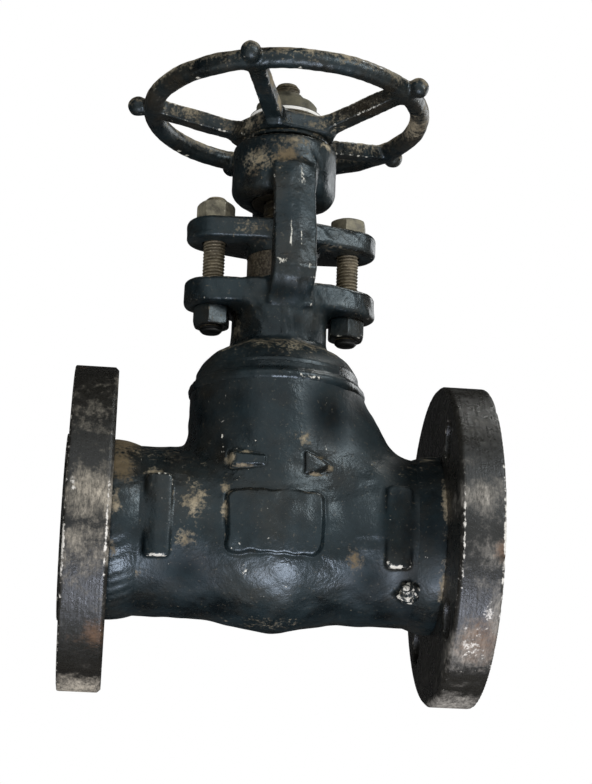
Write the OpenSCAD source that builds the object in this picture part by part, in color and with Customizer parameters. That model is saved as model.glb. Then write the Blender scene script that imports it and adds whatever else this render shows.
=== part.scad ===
// Flanged forged-steel globe valve with a welded bonnet, outside yoke and rising handwheel.
// Millimetres. Origin at the centre of the inlet raised face, +X along the flow, +Z up the stem.

/* [Flanges] */
// Length between the two raised faces
face_to_face = 165; // [155:1:190]
// Outside diameter of each flange
flange_d = 127; // [118:1:150]
// Thickness of each flange rim, without its raised face
flange_t = 17; // [13:0.5:20]
// Diameter of the raised sealing face
raised_face_d = 73; // [60:1:80]
// Height of the raised sealing face
raised_face_h = 1.6; // [1:0.1:3]
// Diameter of the flow port through the flange and the body ends
port_d = 38; // [30:1:42]
// Distance from the rim to the centre of a bolt hole
bolt_edge = 14.3; // [12:0.1:16]
// Bolt hole diameter
bolt_hole_d = 16; // [10:0.5:18]
// Number of bolt holes in each flange
bolt_count = 4; // [4:4:8]
// Bevel on the flange edges
flange_bevel = 1; // [0.5:0.1:2]
// Width of the weld bead beside each flange, along the barrel
flange_weld_w = 11; // [6:0.5:14]
// Height of that bead above the barrel
flange_weld_h = 2.2; // [1:0.1:4]

/* [Body] */
// Distance from the inlet face to the stem axis
stem_x = 82.2; // [76:0.2:88]
// Outside diameter of the horizontal barrel
barrel_d = 66.6; // [62:0.2:72]
// How far the belly stands out from the barrel
belly_rise = 4; // [2:0.5:6]
// Distance from the stem axis at which the belly has faded into the barrel
belly_reach = 30; // [24:1:36]
// Outside diameter of the upright chamber
chamber_d = 69.5; // [66:0.5:76]
// Bore of the upright chamber
chamber_bore_d = 54; // [50:1:58]
// Height of the chamber's rim above the pipe axis
chamber_top_z = 57.5; // [52:0.5:66]
// Lean of the chamber wall on the outlet side, from the upright
outlet_slope = 31; // [20:1:35]
// Width of the four flat pads on the barrel, along the pipe
pad_w = 10; // [6:0.5:14]
// Height of the flat pads
pad_h = 32; // [20:1:40]
// Distance of the pads from the stem axis
pad_offset = 46; // [43:0.5:48]
// How far the pads stand out from the barrel
pad_rise = 1; // [0.5:0.1:2]
// Corner radius of the pads
pad_corner = 2; // [1:0.2:4]
// Diameter of the round weld spot below the outlet pad
weld_spot_d = 8; // [5:0.5:10]
// Distance of that spot from the stem axis, along the pipe
weld_spot_x = 51; // [46:0.5:53]
// Direction of that spot below the level of the pipe axis, seen along the pipe
weld_spot_angle = 45; // [30:1:60]

/* [Passages] */
// Wall between the end of the inlet bore and the chamber
inlet_wall = 7; // [5:0.5:10]
// Wall between the end of the outlet bore and the chamber
outlet_wall = 11; // [8:0.5:14]
// Diameter of the slanted passage to the seat
drop_d = 24; // [18:0.5:25]
// Diameter of the slanted passage from the chamber to the outlet
rise_d = 22; // [16:0.5:24]
// Depth of the pocket below the seat, under the pipe axis
pocket_depth = 22; // [16:0.5:24]
// Height of the drop's lower end above the floor of that pocket
drop_foot = 8; // [6:0.5:11]

/* [Trim] */
// Height of the chamber floor above the pipe axis
floor_z = 14; // [12:0.5:18]
// Bore of the seat ring
seat_bore_d = 30; // [24:1:34]
// Wall of the seat ring
seat_wall = 3.5; // [2:0.5:5]
// Height of the seat ring
seat_h = 10; // [6:0.5:12]
// How far the seat ring stands above the chamber floor
seat_stand = 2; // [1:0.5:4]
// Diameter of the disc
disc_d = 37; // [34:1:42]
// Height of the disc
disc_h = 14; // [12:0.5:18]
// Bevel on the disc's sealing edge
disc_bevel = 2; // [1:0.2:3]
// Depth of the pocket in the disc for the stem's collar
disc_pocket = 10; // [8:0.5:11]
// Outside diameter of the nut that holds the stem in the disc
disc_nut_d = 24; // [22:0.5:27]
// Height of the disc nut above the disc
disc_nut_stand = 3; // [1:0.5:5]
// Rise of the stem from shut to open
lift = 12; // [8:1:12]

/* [Stem] */
// Diameter of the stem
stem_d = 16; // [12:0.5:18]
// Diameter of the collar at the foot of the stem
stem_collar_d = 20; // [19:0.5:21]
// Thickness of the collar at the foot of the stem
stem_collar_t = 3.6; // [2:0.2:5]
// Diameter of the threaded end above the handwheel
stem_end_d = 10.8; // [8:0.2:11]
// Length of the threaded end that shows above the handwheel nut
stem_end_h = 5.2; // [3:0.2:10]
// Bevel on the tip of the stem
stem_tip = 2.5; // [1:0.1:3]

/* [Bonnet] */
// Turn of the bonnet about the stem, as it was welded on
bonnet_turn = 7; // [-15:1:15]
// Width of the weld bead between the chamber's rim and the bonnet's skirt
bonnet_weld_w = 2.2; // [1.5:0.1:4]
// Height of that bead above the chamber's rim
bonnet_weld_h = 7; // [3:0.5:8]
// Height of the straight skirt
skirt_h = 7.5; // [6:0.5:10]
// Height of the domed shoulder, skirt included
shoulder_h = 18.2; // [15:0.2:24]
// Radius of the domed shoulder
shoulder_r = 18; // [14:1:40]
// Diameter of the neck
neck_d = 39; // [36:0.5:40]
// Height of the neck up to the ears
neck_h = 16.8; // [13:0.2:24]
// Thickness of the ears
ear_t = 10.5; // [8:0.5:14]
// Radius of the ears' and the gland flange's round ends
lug_r = 11.5; // [9.5:0.5:13]
// Distance between the two gland bolts
gland_bolt_span = 56.2; // [54:0.2:62]
// Width of a yoke arm
arm_w = 17.5; // [12:0.5:20]
// Distance from the stem axis to the arm's inner face
arm_inner = 20; // [19:0.5:24]
// Thickness of a yoke arm at its foot
arm_t = 10; // [7:0.5:12]
// Height of an arm's bend above the underside of the ears
arm_bend = 9.5; // [7:0.5:14]
// Height over which an arm's bend is rounded off
arm_knuckle = 4; // [2:0.5:6]
// Height of an arm's foot below the ears
arm_foot = 1; // [0.5:0.5:6]
// Height on the hub at which an arm's face runs out
arm_runout = 11; // [8:0.5:14]
// Bevel on the arm's outer edges
arm_bevel = 3; // [1:0.5:4]
// Diameter of the hub that joins the arms
yoke_hub_d = 43; // [40:0.5:48]
// Height of that hub
yoke_hub_h = 23.5; // [20:0.5:30]
// Rounding of the hub's lower edge
yoke_hub_round = 6; // [3:0.5:8]
// Bevel on the hub's upper edge
yoke_hub_bevel = 1.5; // [0.5:0.1:3]
// Clear height between the gland flange and the yoke hub
yoke_window = 11.5; // [11:0.5:16]
// Outside diameter of the threaded bush in the hub
bush_d = 26; // [22:0.5:30]

/* [Gland] */
// Clear height between the ears and the gland flange
gland_gap = 17; // [14:0.5:24]
// Thickness of the gland flange
gland_t = 9; // [7:0.5:12]
// Radius of the gland flange round the stem
gland_mid_r = 17; // [16:0.5:18]
// Height of the boss under the gland flange
gland_boss_h = 4; // [2:0.5:6]
// Outside diameter of the gland follower and the packing
follower_d = 28; // [22:0.5:30]
// Depth that the follower enters the stuffing box
follower_depth = 8; // [4:0.5:12]
// Depth of the packing below the follower
packing_h = 14; // [8:1:16]
// Diameter of the gland bolts
gland_bolt_d = 9; // [8:0.5:10]
// Width across the flats of the gland nuts
gland_nut_af = 13.7; // [13:0.1:14]
// Height of the gland nuts
gland_nut_h = 8.2; // [6:0.2:10]
// Height of the bolt head
gland_head_h = 6.8; // [5:0.2:9]
// Length of bolt that shows past a nut
gland_bolt_end = 2.4; // [1:0.2:5]
// Bevel on the ends of the gland bolts
gland_bolt_tip = 0.8; // [0.4:0.1:1.5]

/* [Handwheel] */
// Gap between the yoke hub and the handwheel when the valve is shut
wheel_gap = 2; // [1.5:0.1:6]
// Diameter of the handwheel hub at the spokes
wheel_hub_d = 45; // [42:0.5:48]
// Distance from the stem axis to the flat sides of the hub between the spokes
wheel_flat_r = 19.6; // [19.2:0.2:21]
// Height of the handwheel hub, with its collar
wheel_hub_h = 9; // [8:0.5:14]
// Bevel on the edges of the handwheel hub
wheel_hub_bevel = 1.5; // [0.5:0.1:2]
// Diameter of the collar under the hub
wheel_collar_d = 36; // [30:0.5:38]
// Height of the collar under the hub
wheel_collar_h = 1.4; // [0.6:0.1:2]
// Diameter of the boss on top of the hub
wheel_boss_d = 30; // [28:1:36]
// Height of the boss on top of the hub
wheel_boss_h = 2.6; // [1:0.2:6]
// Diameter of the rim's centre line
rim_d = 112; // [100:1:130]
// Diameter of the rim's round section
rim_t = 8.2; // [7.4:0.2:10]
// Height of the rim's centre above the hub's underside
rim_rise = 14.6; // [10:0.2:18]
// Number of spokes
spoke_count = 5; // [3:1:6]
// Direction of the first spoke
spoke_turn = 35.4; // [0:0.2:72]
// Width of a spoke
spoke_w = 7; // [5:0.2:8]
// Height of a spoke
spoke_h = 6.2; // [5:0.2:6.8]
// Rounding of a spoke's edges
spoke_round = 1.2; // [0.6:0.1:2]
// Height of a spoke's root above the underside of the hub
spoke_root = 5; // [4.6:0.2:5.4]
// Diameter of the ball knobs on the rim
knob_d = 8.2; // [6.4:0.2:9]
// Diameter of the neck between the rim and a knob
knob_neck_d = 6; // [4:0.2:6.4]
// Distance from the rim's centre line to a knob's centre
knob_reach = 6.5; // [6:0.5:10]
// Diameter of the washer under the handwheel nut
washer_d = 30.6; // [28:0.2:34]
// Thickness of that washer
washer_t = 1.6; // [1:0.1:3]
// Diameter of the handwheel nut's round foot
wheel_nut_d = 26; // [22:0.5:27]
// Width of the handwheel nut across its flats
wheel_nut_af = 24.4; // [20:0.2:26]
// Height of the handwheel nut's foot below its cone
wheel_nut_hex_h = 5.6; // [4:0.2:8]
// Height of the cone on top of the handwheel nut
wheel_nut_cone_h = 4.9; // [3:0.1:7]
// Land left round the stem on top of that cone
wheel_nut_land = 0.6; // [0.3:0.1:2]

/* [Fits] */
// Radial clearance round the turning stem
stem_clear = 0.2; // [0.1:0.05:0.4]
// Gap between the shut disc and its seat, and round the stem's collar
seat_gap = 0.3; // [0.2:0.05:0.5]
// Radial clearance of the gland bolts in their holes
bolt_clear = 0.5; // [0.3:0.1:0.8]
// Spare height above the disc nut when the valve is open
open_gap = 1.5; // [0.5:0.5:3]

/* [Hidden] */
$fn = 64;

// A little overrun, so that a cut passes right through a face
over = 1;

paint = [0.10, 0.11, 0.12];
worn_paint = [0.15, 0.15, 0.16];
rusty = [0.34, 0.29, 0.22];
bare = [0.78, 0.79, 0.80];

// Flanges and barrel
port_r = port_d / 2;
barrel_r = barrel_d / 2;
weld_foot = raised_face_h + flange_t;
bolt_circle_d = flange_d - 2 * bolt_edge;

// Chamber, passages and trim
chamber_r = chamber_d / 2;
chamber_bore_r = chamber_bore_d / 2;
seat_r = seat_bore_d / 2 + seat_wall;
seat_top_z = floor_z + seat_stand;
seat_foot_z = seat_top_z - seat_h;
inlet_end_x = stem_x - chamber_bore_r - inlet_wall;
outlet_end_x = stem_x + chamber_bore_r + outlet_wall;
disc_z = seat_top_z + seat_gap;
collar_z = disc_z + disc_h - disc_pocket + seat_gap;
disc_top_z = disc_z + disc_h;
disc_nut_top_z = disc_top_z + disc_nut_stand;
spigot_z = disc_nut_top_z + lift + open_gap;

// Bonnet
skirt_r = chamber_r - bonnet_weld_w;
neck_r = neck_d / 2;
hub_r = yoke_hub_d / 2;
neck_z = chamber_top_z + shoulder_h;
ear_z = neck_z + neck_h;
ear_top_z = ear_z + ear_t;
gland_z = ear_top_z + gland_gap;
gland_top_z = gland_z + gland_t;
hub_z = gland_top_z + yoke_window;
hub_top_z = hub_z + yoke_hub_h;

// Heights of the handwheel's levels
wheel_z = hub_top_z + wheel_gap;
wheel_hub_top_z = wheel_z + wheel_hub_h;
boss_top_z = wheel_hub_top_z + wheel_boss_h;
washer_top_z = boss_top_z + washer_t;
wheel_nut_top_z = washer_top_z + wheel_nut_hex_h + wheel_nut_cone_h;
stem_top_z = wheel_nut_top_z + stem_end_h;
rim_z = wheel_z + rim_rise;

stem_hole_r = stem_d / 2 + stem_clear;
bolt_x = gland_bolt_span / 2;
bolt_hole_r = gland_bolt_d / 2 + bolt_clear;

// Each gland nut and the bolt head stand turned about their bolt as the spanner left them
head_turn = 10;
top_nut_turn = -12;
bottom_nut_turn = 12;
bolt_nut_turn = 24;

// Puts a shape drawn about the origin on the stem axis
module on_stem() {
    translate([stem_x, 0, 0]) children();
}

// Puts a shape on the stem axis, turned with the bonnet
module on_bonnet() {
    on_stem() rotate([0, 0, bonnet_turn]) children();
}

// Lays a shape drawn along +Z down along +X, starting at the given station
module along_pipe(x) {
    translate([x, 0, 0]) rotate([0, 90, 0]) children();
}

// Bored ring about the stem axis
module ring(outer_r, inner_r, z0, z1) {
    translate([0, 0, z0]) difference() {
        cylinder(r = outer_r, h = z1 - z0);
        translate([0, 0, -over]) cylinder(r = inner_r, h = z1 - z0 + 2 * over);
    }
}

// Radius of the barrel at a distance from the stem axis: the belly swells and fades as a cosine bell
function barrel_radius(x) = barrel_r + belly_rise * (1 + cos(180 * x / belly_reach)) / 2;

// Half profile of the barrel and its belly, drawn about the stem axis
module barrel_profile() {
    steps = 5;
    inlet_x = weld_foot - stem_x;
    outlet_x = face_to_face - weld_foot - stem_x;
    belly = [for (i = [-steps : steps]) let (x = belly_reach * i / steps) [barrel_radius(x), x]];
    polygon(concat([[0, inlet_x], [barrel_r, inlet_x]], belly, [[barrel_r, outlet_x], [0, outlet_x]]));
}

// Flat rectangle with round corners, centred
module rounded_rect(w, h, r) {
    square([w - 2 * r, h], center = true);
    square([w, h - 2 * r], center = true);
    for (sx = [-1, 1], sy = [-1, 1])
        translate([sx * (w / 2 - r), sy * (h / 2 - r)]) circle(r);
}

// Round middle with two round lugs, joined by tangent lines
module lug_outline(mid_r, end_r, span) {
    lean = acos((mid_r - end_r) / (span / 2));
    mid = [mid_r * cos(lean), mid_r * sin(lean)];
    end = [span / 2 + end_r * cos(lean), end_r * sin(lean)];
    circle(mid_r);
    for (side = [-1, 1]) translate([side * span / 2, 0]) circle(end_r);
    polygon([[-end[0], -end[1]], [-mid[0], -mid[1]], [mid[0], -mid[1]], [end[0], -end[1]],
             end, mid, [-mid[0], mid[1]], [-end[0], end[1]]]);
}

// The chamber's leaning wall on the outlet side, which comes out of the round wall just below the rim
module outlet_shoulder() {
    inset = 0.4;
    lean_r = (chamber_r - inset) * cos(outlet_slope);
    intersection() {
        translate([0, 0, chamber_top_z]) rotate([0, 180 - outlet_slope, 0])
            translate([0, 0, -chamber_r]) cylinder(r = lean_r, h = chamber_r + chamber_top_z / cos(outlet_slope));
        cylinder(r = 3 * chamber_r, h = chamber_top_z - inset);
    }
}

// Flat pads on both sides of the barrel, at either end
module barrel_pads() {
    pad_face = barrel_r + pad_rise;
    for (end = [-1, 1])
        translate([end * pad_offset, pad_face, 0]) rotate([90, 0, 0])
            linear_extrude(2 * pad_face) rounded_rect(pad_w, pad_h, pad_corner);
}

// A slanted round passage between two points of the pipe's upright plane, run on past the first by lead_in
module slant(from, to, d, lead_in) {
    run = to - from;
    translate([from[0], 0, from[1]]) rotate([0, atan2(run[0], run[1]), 0])
        translate([0, 0, -lead_in]) cylinder(d = d, h = norm(run) + lead_in);
}

// The flow path: two end bores, a drop below the seat, and a rise from the chamber to the outlet
module flow_path() {
    along_pipe(0) cylinder(r = port_r, h = inlet_end_x);
    along_pipe(outlet_end_x) cylinder(r = port_r, h = face_to_face - outlet_end_x);
    slant([inlet_end_x, 0], [stem_x, drop_foot - pocket_depth], drop_d, 0);
    rise_z = floor_z + rise_d / 2 - over;
    slant([stem_x + chamber_bore_r, rise_z], [outlet_end_x + outlet_wall, rise_z / 2], rise_d, rise_d / 2);
    on_stem() {
        translate([0, 0, -pocket_depth]) cylinder(d = seat_bore_d, h = seat_foot_z + pocket_depth + over);
        translate([0, 0, seat_foot_z]) cylinder(r = seat_r, h = seat_h);
        translate([0, 0, floor_z]) cylinder(r = chamber_bore_r, h = chamber_top_z - floor_z + over);
    }
}

// Low round weld spot on the barrel's front, below the outlet pad
module weld_spot() {
    rise = 1;
    translate([weld_spot_x, 0, 0]) rotate([90 + weld_spot_angle, 0, 0])
        cylinder(d1 = weld_spot_d + 2 * rise, d2 = weld_spot_d, h = barrel_r + rise);
}

module body() {
    color(paint) difference() {
        union() {
            along_pipe(stem_x) rotate_extrude($fn = 96) barrel_profile();
            on_stem() {
                cylinder(r = chamber_r, h = chamber_top_z);
                outlet_shoulder();
                barrel_pads();
                weld_spot();
            }
        }
        flow_path();
    }
}

// One flange, its raised face at the origin and its rim toward +X
module flange() {
    half = flange_d / 2;
    back = raised_face_h + flange_t;
    difference() {
        along_pipe(0) rotate_extrude($fn = 128) polygon([[port_r, 0], [raised_face_d / 2, 0],
            [raised_face_d / 2, raised_face_h], [half - flange_bevel, raised_face_h],
            [half, raised_face_h + flange_bevel], [half, back - flange_bevel],
            [half - flange_bevel, back], [port_r, back]]);
        for (i = [0 : bolt_count - 1])
            rotate([180 / bolt_count + i * 360 / bolt_count, 0, 0]) translate([0, 0, bolt_circle_d / 2])
                along_pipe(0) cylinder(d = bolt_hole_d, h = back + over);
    }
}

module inlet_flange() {
    color(worn_paint) flange();
}

module outlet_flange() {
    color(worn_paint) translate([face_to_face, 0, 0]) mirror([1, 0, 0]) flange();
}

// Weld bead round a wall of that radius: it rises by so much at its foot, and fades into the wall along its run
module bead(wall_r, rise, run) {
    bead_r = (pow(run, 2) + pow(rise, 2)) / (2 * rise);
    rotate_extrude($fn = 96) translate([wall_r, 0]) intersection() {
        square([rise, run]);
        translate([rise - bead_r, 0]) circle(bead_r, $fn = 128);
    }
}

// Bead beside a flange: highest against the flange's back
module flange_weld() {
    along_pipe(weld_foot) bead(barrel_r, flange_weld_h, flange_weld_w);
}

module inlet_flange_weld() {
    color(rusty) flange_weld();
}

module outlet_flange_weld() {
    color(paint) translate([face_to_face, 0, 0]) mirror([1, 0, 0]) flange_weld();
}

module seat_ring() {
    color(bare) on_stem() ring(seat_r, seat_bore_d / 2, seat_foot_z, seat_top_z);
}

// Half profile of the bonnet's foot: spigot, skirt, domed shoulder and neck
module bonnet_profile() {
    chord = [neck_r - skirt_r, shoulder_h - skirt_h];
    half_chord = norm(chord) / 2;
    inward = [-chord[1], chord[0]] / norm(chord);
    centre = [(skirt_r + neck_r) / 2, (skirt_h + shoulder_h) / 2]
             + inward * sqrt(pow(shoulder_r, 2) - pow(half_chord, 2));
    translate([0, chamber_top_z]) {
        intersection() {
            square([skirt_r, shoulder_h]);
            translate(centre) circle(shoulder_r, $fn = 96);
        }
        square([neck_r, shoulder_h + neck_h]);
        square([skirt_r, skirt_h]);
    }
    translate([0, spigot_z]) square([chamber_bore_r, chamber_top_z - spigot_z]);
}

// Half profile of the yoke hub, its lower edge rounded and its upper edge bevelled
module yoke_hub_profile() {
    translate([0, hub_z]) {
        square([hub_r - yoke_hub_round, yoke_hub_round]);
        intersection() {
            translate([hub_r - yoke_hub_round, yoke_hub_round]) circle(yoke_hub_round);
            square([hub_r, yoke_hub_round]);
        }
        polygon([[0, yoke_hub_round], [hub_r, yoke_hub_round], [hub_r, yoke_hub_h - yoke_hub_bevel],
                 [hub_r - yoke_hub_bevel, yoke_hub_h], [0, yoke_hub_h]]);
    }
}

// One yoke arm at the front: a bar that springs from under the ears, bends up at its knuckle and closes on the hub
module yoke_arm() {
    arm_outer = arm_inner + arm_t;
    root = 4;
    in_hub = (bush_d / 2 + hub_r) / 2;
    bend_z = ear_z + arm_bend;
    face_z = bend_z + arm_knuckle / 2;
    run_in = [hub_r + over - arm_outer, hub_z + arm_runout - face_z];
    difference() {
        translate([-arm_w / 2, 0, 0]) rotate([90, 0, 90]) linear_extrude(arm_w)
            polygon([[-neck_r + root, ear_z - arm_foot], [-neck_r, ear_z - arm_foot],
                     [-arm_outer + arm_knuckle / 2, bend_z - arm_knuckle / 2], [-arm_outer, face_z],
                     [-hub_r - over, hub_z + arm_runout], [-in_hub, hub_z + arm_runout + root],
                     [-in_hub, hub_z + yoke_hub_round], [-arm_inner, hub_z - root], [-arm_inner, ear_top_z],
                     [-neck_r + root, ear_top_z]]);
        // Both outer edges are bevelled along the arm's lean
        for (side = [-1, 1])
            translate([side * arm_w / 2, -arm_outer, face_z]) rotate([atan2(run_in[0], run_in[1]), 0, 0])
                rotate([0, 0, 45]) cube([arm_bevel * sqrt(2), arm_bevel * sqrt(2), 4 * norm(run_in)], center = true);
    }
}

module bonnet() {
    stuffing_z = ear_top_z - follower_depth - packing_h;
    color(paint) on_bonnet() difference() {
        union() {
            rotate_extrude($fn = 96) bonnet_profile();
            translate([0, 0, ear_z]) linear_extrude(ear_t) lug_outline(neck_r, lug_r, gland_bolt_span);
            rotate_extrude($fn = 96) yoke_hub_profile();
            for (side = [0, 180]) rotate([0, 0, side]) yoke_arm();
        }
        translate([0, 0, spigot_z - over]) cylinder(r = stem_hole_r, h = stuffing_z - spigot_z + 2 * over);
        translate([0, 0, stuffing_z]) cylinder(d = follower_d, h = ear_top_z - stuffing_z + over);
        translate([0, 0, hub_z - over]) cylinder(d = bush_d, h = yoke_hub_h + 2 * over);
        for (side = [-1, 1])
            translate([side * bolt_x, 0, ear_z - over]) cylinder(r = bolt_hole_r, h = ear_t + 2 * over);
    }
}

// Bead between the chamber's rim and the bonnet's skirt, flush with the chamber's wall at its foot
module bonnet_weld() {
    color(worn_paint) on_stem() translate([0, 0, chamber_top_z]) bead(skirt_r, bonnet_weld_w, bonnet_weld_h);
}

module yoke_bush() {
    color(rusty) on_stem() ring(bush_d / 2, stem_hole_r, hub_z, hub_top_z);
}

module packing() {
    foot_z = ear_top_z - follower_depth - packing_h;
    color([0.2, 0.2, 0.2]) on_stem() ring(follower_d / 2, stem_hole_r, foot_z, foot_z + packing_h);
}

module gland_follower() {
    color(rusty) on_stem() ring(follower_d / 2, stem_hole_r, ear_top_z - follower_depth, gland_z - gland_boss_h);
}

// Oval flange with a tapered boss that bears on the follower
module gland_flange() {
    hole_r = stem_hole_r + bolt_clear;
    color(worn_paint) on_bonnet() translate([0, 0, gland_z]) difference() {
        union() {
            linear_extrude(gland_t) lug_outline(gland_mid_r, lug_r, gland_bolt_span);
            translate([0, 0, -gland_boss_h])
                cylinder(r1 = follower_d / 2, r2 = gland_mid_r - over, h = gland_boss_h + over);
        }
        translate([0, 0, -gland_boss_h - over]) cylinder(r = hole_r, h = gland_t + gland_boss_h + 2 * over);
        for (side = [-1, 1])
            translate([side * bolt_x, 0, -over]) cylinder(r = bolt_hole_r, h = gland_t + 2 * over);
    }
}

// Hexagon nut with its corners rounded off at both faces, threaded on a bolt at the bore given
module hex_nut(af, h, bore_d) {
    corner_r = af / cos(30) / 2;
    difference() {
        intersection() {
            cylinder(r = corner_r, h = h, $fn = 6);
            rotate_extrude() polygon([[0, 0], [af / 2, 0], [corner_r, corner_r - af / 2],
                                      [corner_r, h - corner_r + af / 2], [af / 2, h], [0, h]]);
        }
        translate([0, 0, -over]) cylinder(d = bore_d, h = h + 2 * over);
    }
}

// Round bolt shank with a bevelled tip at its lower end
module bolt_shank(z0, z1) {
    r = gland_bolt_d / 2;
    translate([0, 0, z0]) rotate_extrude() polygon([[0, 0], [r - gland_bolt_tip, 0], [r, gland_bolt_tip],
                                                    [r, z1 - z0], [0, z1 - z0]]);
}

module gland_stud() {
    mid_z = (ear_z + gland_top_z) / 2;
    reach = mid_z - ear_z + gland_nut_h + gland_bolt_end;
    color(rusty) on_bonnet() translate([-bolt_x, 0, mid_z]) {
        bolt_shank(-reach, 0);
        mirror([0, 0, 1]) bolt_shank(-reach, 0);
    }
}

module gland_bolt() {
    color(rusty) on_bonnet() translate([bolt_x, 0, 0]) {
        bolt_shank(ear_z - gland_nut_h - gland_bolt_end, gland_top_z);
        translate([0, 0, gland_top_z]) rotate([0, 0, head_turn]) hex_nut(gland_nut_af, gland_head_h, 0);
    }
}

// A gland nut on one of the two bolts, standing on the given level
module gland_nut(x, z, turn) {
    on_bonnet() translate([x, 0, z]) rotate([0, 0, turn]) hex_nut(gland_nut_af, gland_nut_h, gland_bolt_d);
}

module gland_stud_top_nut() {
    color(rusty) gland_nut(-bolt_x, gland_top_z, top_nut_turn);
}

module gland_stud_bottom_nut() {
    color(paint) gland_nut(-bolt_x, ear_z - gland_nut_h, bottom_nut_turn);
}

module gland_bolt_nut() {
    color(paint) gland_nut(bolt_x, ear_z - gland_nut_h, bolt_nut_turn);
}

// Plug that shuts the seat, with a pocket for the stem's collar
module disc() {
    disc_r = disc_d / 2;
    color(bare) on_stem() translate([0, 0, disc_z]) difference() {
        rotate_extrude() polygon([[0, 0], [disc_r - disc_bevel, 0], [disc_r, disc_bevel],
                                  [disc_r, disc_h], [0, disc_h]]);
        translate([0, 0, disc_h - disc_pocket]) cylinder(d = disc_nut_d, h = disc_pocket + over);
    }
}

module disc_nut() {
    foot_z = collar_z + stem_collar_t + seat_gap;
    color(bare) on_stem() ring(disc_nut_d / 2, stem_hole_r, foot_z, disc_nut_top_z);
}

module stem() {
    collar_top_z = collar_z + stem_collar_t;
    end_r = stem_end_d / 2;
    color(rusty) on_stem() rotate_extrude() polygon([[0, collar_z], [stem_collar_d / 2, collar_z],
        [stem_collar_d / 2, collar_top_z], [stem_d / 2, collar_top_z], [stem_d / 2, wheel_z], [end_r, wheel_z],
        [end_r, stem_top_z - stem_tip], [end_r - stem_tip, stem_top_z], [0, stem_top_z]]);
}

// One spoke with the ball knob at its end, along +X
module spoke() {
    root = [wheel_boss_d / 2, wheel_z + spoke_root];
    run = [rim_d / 2, rim_z] - root;
    translate([root[0], 0, root[1]]) rotate([0, atan2(run[0], run[1]), 0])
        linear_extrude(norm(run)) rounded_rect(spoke_h, spoke_w, spoke_round);
    translate([rim_d / 2, 0, rim_z]) {
        rotate([0, 90, 0]) cylinder(d = knob_neck_d, h = knob_reach);
        translate([knob_reach, 0, 0]) sphere(d = knob_d);
    }
}

module handwheel() {
    wheel_r = wheel_hub_d / 2;
    collar_r = wheel_collar_d / 2;
    hub_foot_z = wheel_z + wheel_collar_h;
    color(paint) on_stem() difference() {
        union() {
            intersection() {
                rotate_extrude() polygon([[0, wheel_z], [collar_r, wheel_z], [collar_r, hub_foot_z],
                    [wheel_r - wheel_hub_bevel, hub_foot_z], [wheel_r, hub_foot_z + wheel_hub_bevel],
                    [wheel_r, wheel_hub_top_z - wheel_hub_bevel], [wheel_r - wheel_hub_bevel, wheel_hub_top_z],
                    [wheel_boss_d / 2, wheel_hub_top_z], [wheel_boss_d / 2 - wheel_boss_h / 4, boss_top_z],
                    [0, boss_top_z]]);
                // Flat sides between the spokes, with a corner at each spoke
                translate([0, 0, wheel_z - over]) rotate([0, 0, spoke_turn])
                    cylinder(r = wheel_flat_r / cos(180 / spoke_count), h = boss_top_z - wheel_z + 2 * over,
                             $fn = spoke_count);
            }
            rotate_extrude($fn = 96) translate([rim_d / 2, rim_z]) circle(d = rim_t, $fn = 32);
            for (i = [0 : spoke_count - 1]) rotate([0, 0, spoke_turn + i * 360 / spoke_count]) spoke();
        }
        translate([0, 0, wheel_z - over]) cylinder(d = stem_end_d, h = boss_top_z - wheel_z + 2 * over);
    }
}

module handwheel_washer() {
    color(bare) on_stem() ring(washer_d / 2, stem_end_d / 2, boss_top_z, washer_top_z);
}

// Conical nut whose round foot has six flats for a spanner
module handwheel_nut() {
    foot_r = wheel_nut_d / 2;
    top_r = stem_end_d / 2 + wheel_nut_land;
    top = wheel_nut_hex_h + wheel_nut_cone_h;
    color(rusty) on_stem() translate([0, 0, washer_top_z]) difference() {
        intersection() {
            cylinder(r = wheel_nut_af / 2 / cos(30), h = top, $fn = 6);
            rotate_extrude() polygon([[0, 0], [foot_r, 0], [foot_r, wheel_nut_hex_h], [top_r, top], [0, top]]);
        }
        translate([0, 0, -over]) cylinder(d = stem_end_d, h = top + 2 * over);
    }
}

body();
inlet_flange();
outlet_flange();
inlet_flange_weld();
outlet_flange_weld();
seat_ring();
bonnet();
bonnet_weld();
yoke_bush();
packing();
gland_follower();
gland_flange();
gland_stud();
gland_bolt();
gland_stud_top_nut();
gland_stud_bottom_nut();
gland_bolt_nut();
disc();
disc_nut();
stem();
handwheel();
handwheel_washer();
handwheel_nut();
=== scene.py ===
import math

import bmesh
import bpy
import numpy as np
from mathutils import Matrix, Vector


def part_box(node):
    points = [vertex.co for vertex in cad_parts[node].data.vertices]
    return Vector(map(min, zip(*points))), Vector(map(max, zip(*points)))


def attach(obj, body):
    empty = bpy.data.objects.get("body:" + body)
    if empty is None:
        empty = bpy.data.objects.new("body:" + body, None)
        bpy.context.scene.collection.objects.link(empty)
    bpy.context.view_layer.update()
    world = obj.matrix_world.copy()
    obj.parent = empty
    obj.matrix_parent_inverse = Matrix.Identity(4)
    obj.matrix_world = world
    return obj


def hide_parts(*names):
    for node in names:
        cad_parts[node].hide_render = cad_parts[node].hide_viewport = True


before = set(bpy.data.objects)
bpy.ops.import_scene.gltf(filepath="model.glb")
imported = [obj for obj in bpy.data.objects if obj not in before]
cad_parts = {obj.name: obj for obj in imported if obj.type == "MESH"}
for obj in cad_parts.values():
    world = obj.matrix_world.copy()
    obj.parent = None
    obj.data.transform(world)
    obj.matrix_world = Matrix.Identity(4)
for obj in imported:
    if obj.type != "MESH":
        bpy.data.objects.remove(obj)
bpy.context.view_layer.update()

# Valve body: one hot-forged steel piece, a barrel whose belly carries the upright chamber.
# Its corners run over in soft fillets, its side pads are flats for a clamp, and its front carries
# a bare raised plate and a flow arrow. It is painted black by brush.


def span(node):
    """Lowest and highest corner of a CAD node, in millimetres."""
    return [[1000 * v for v in corner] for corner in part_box(node)]


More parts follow.
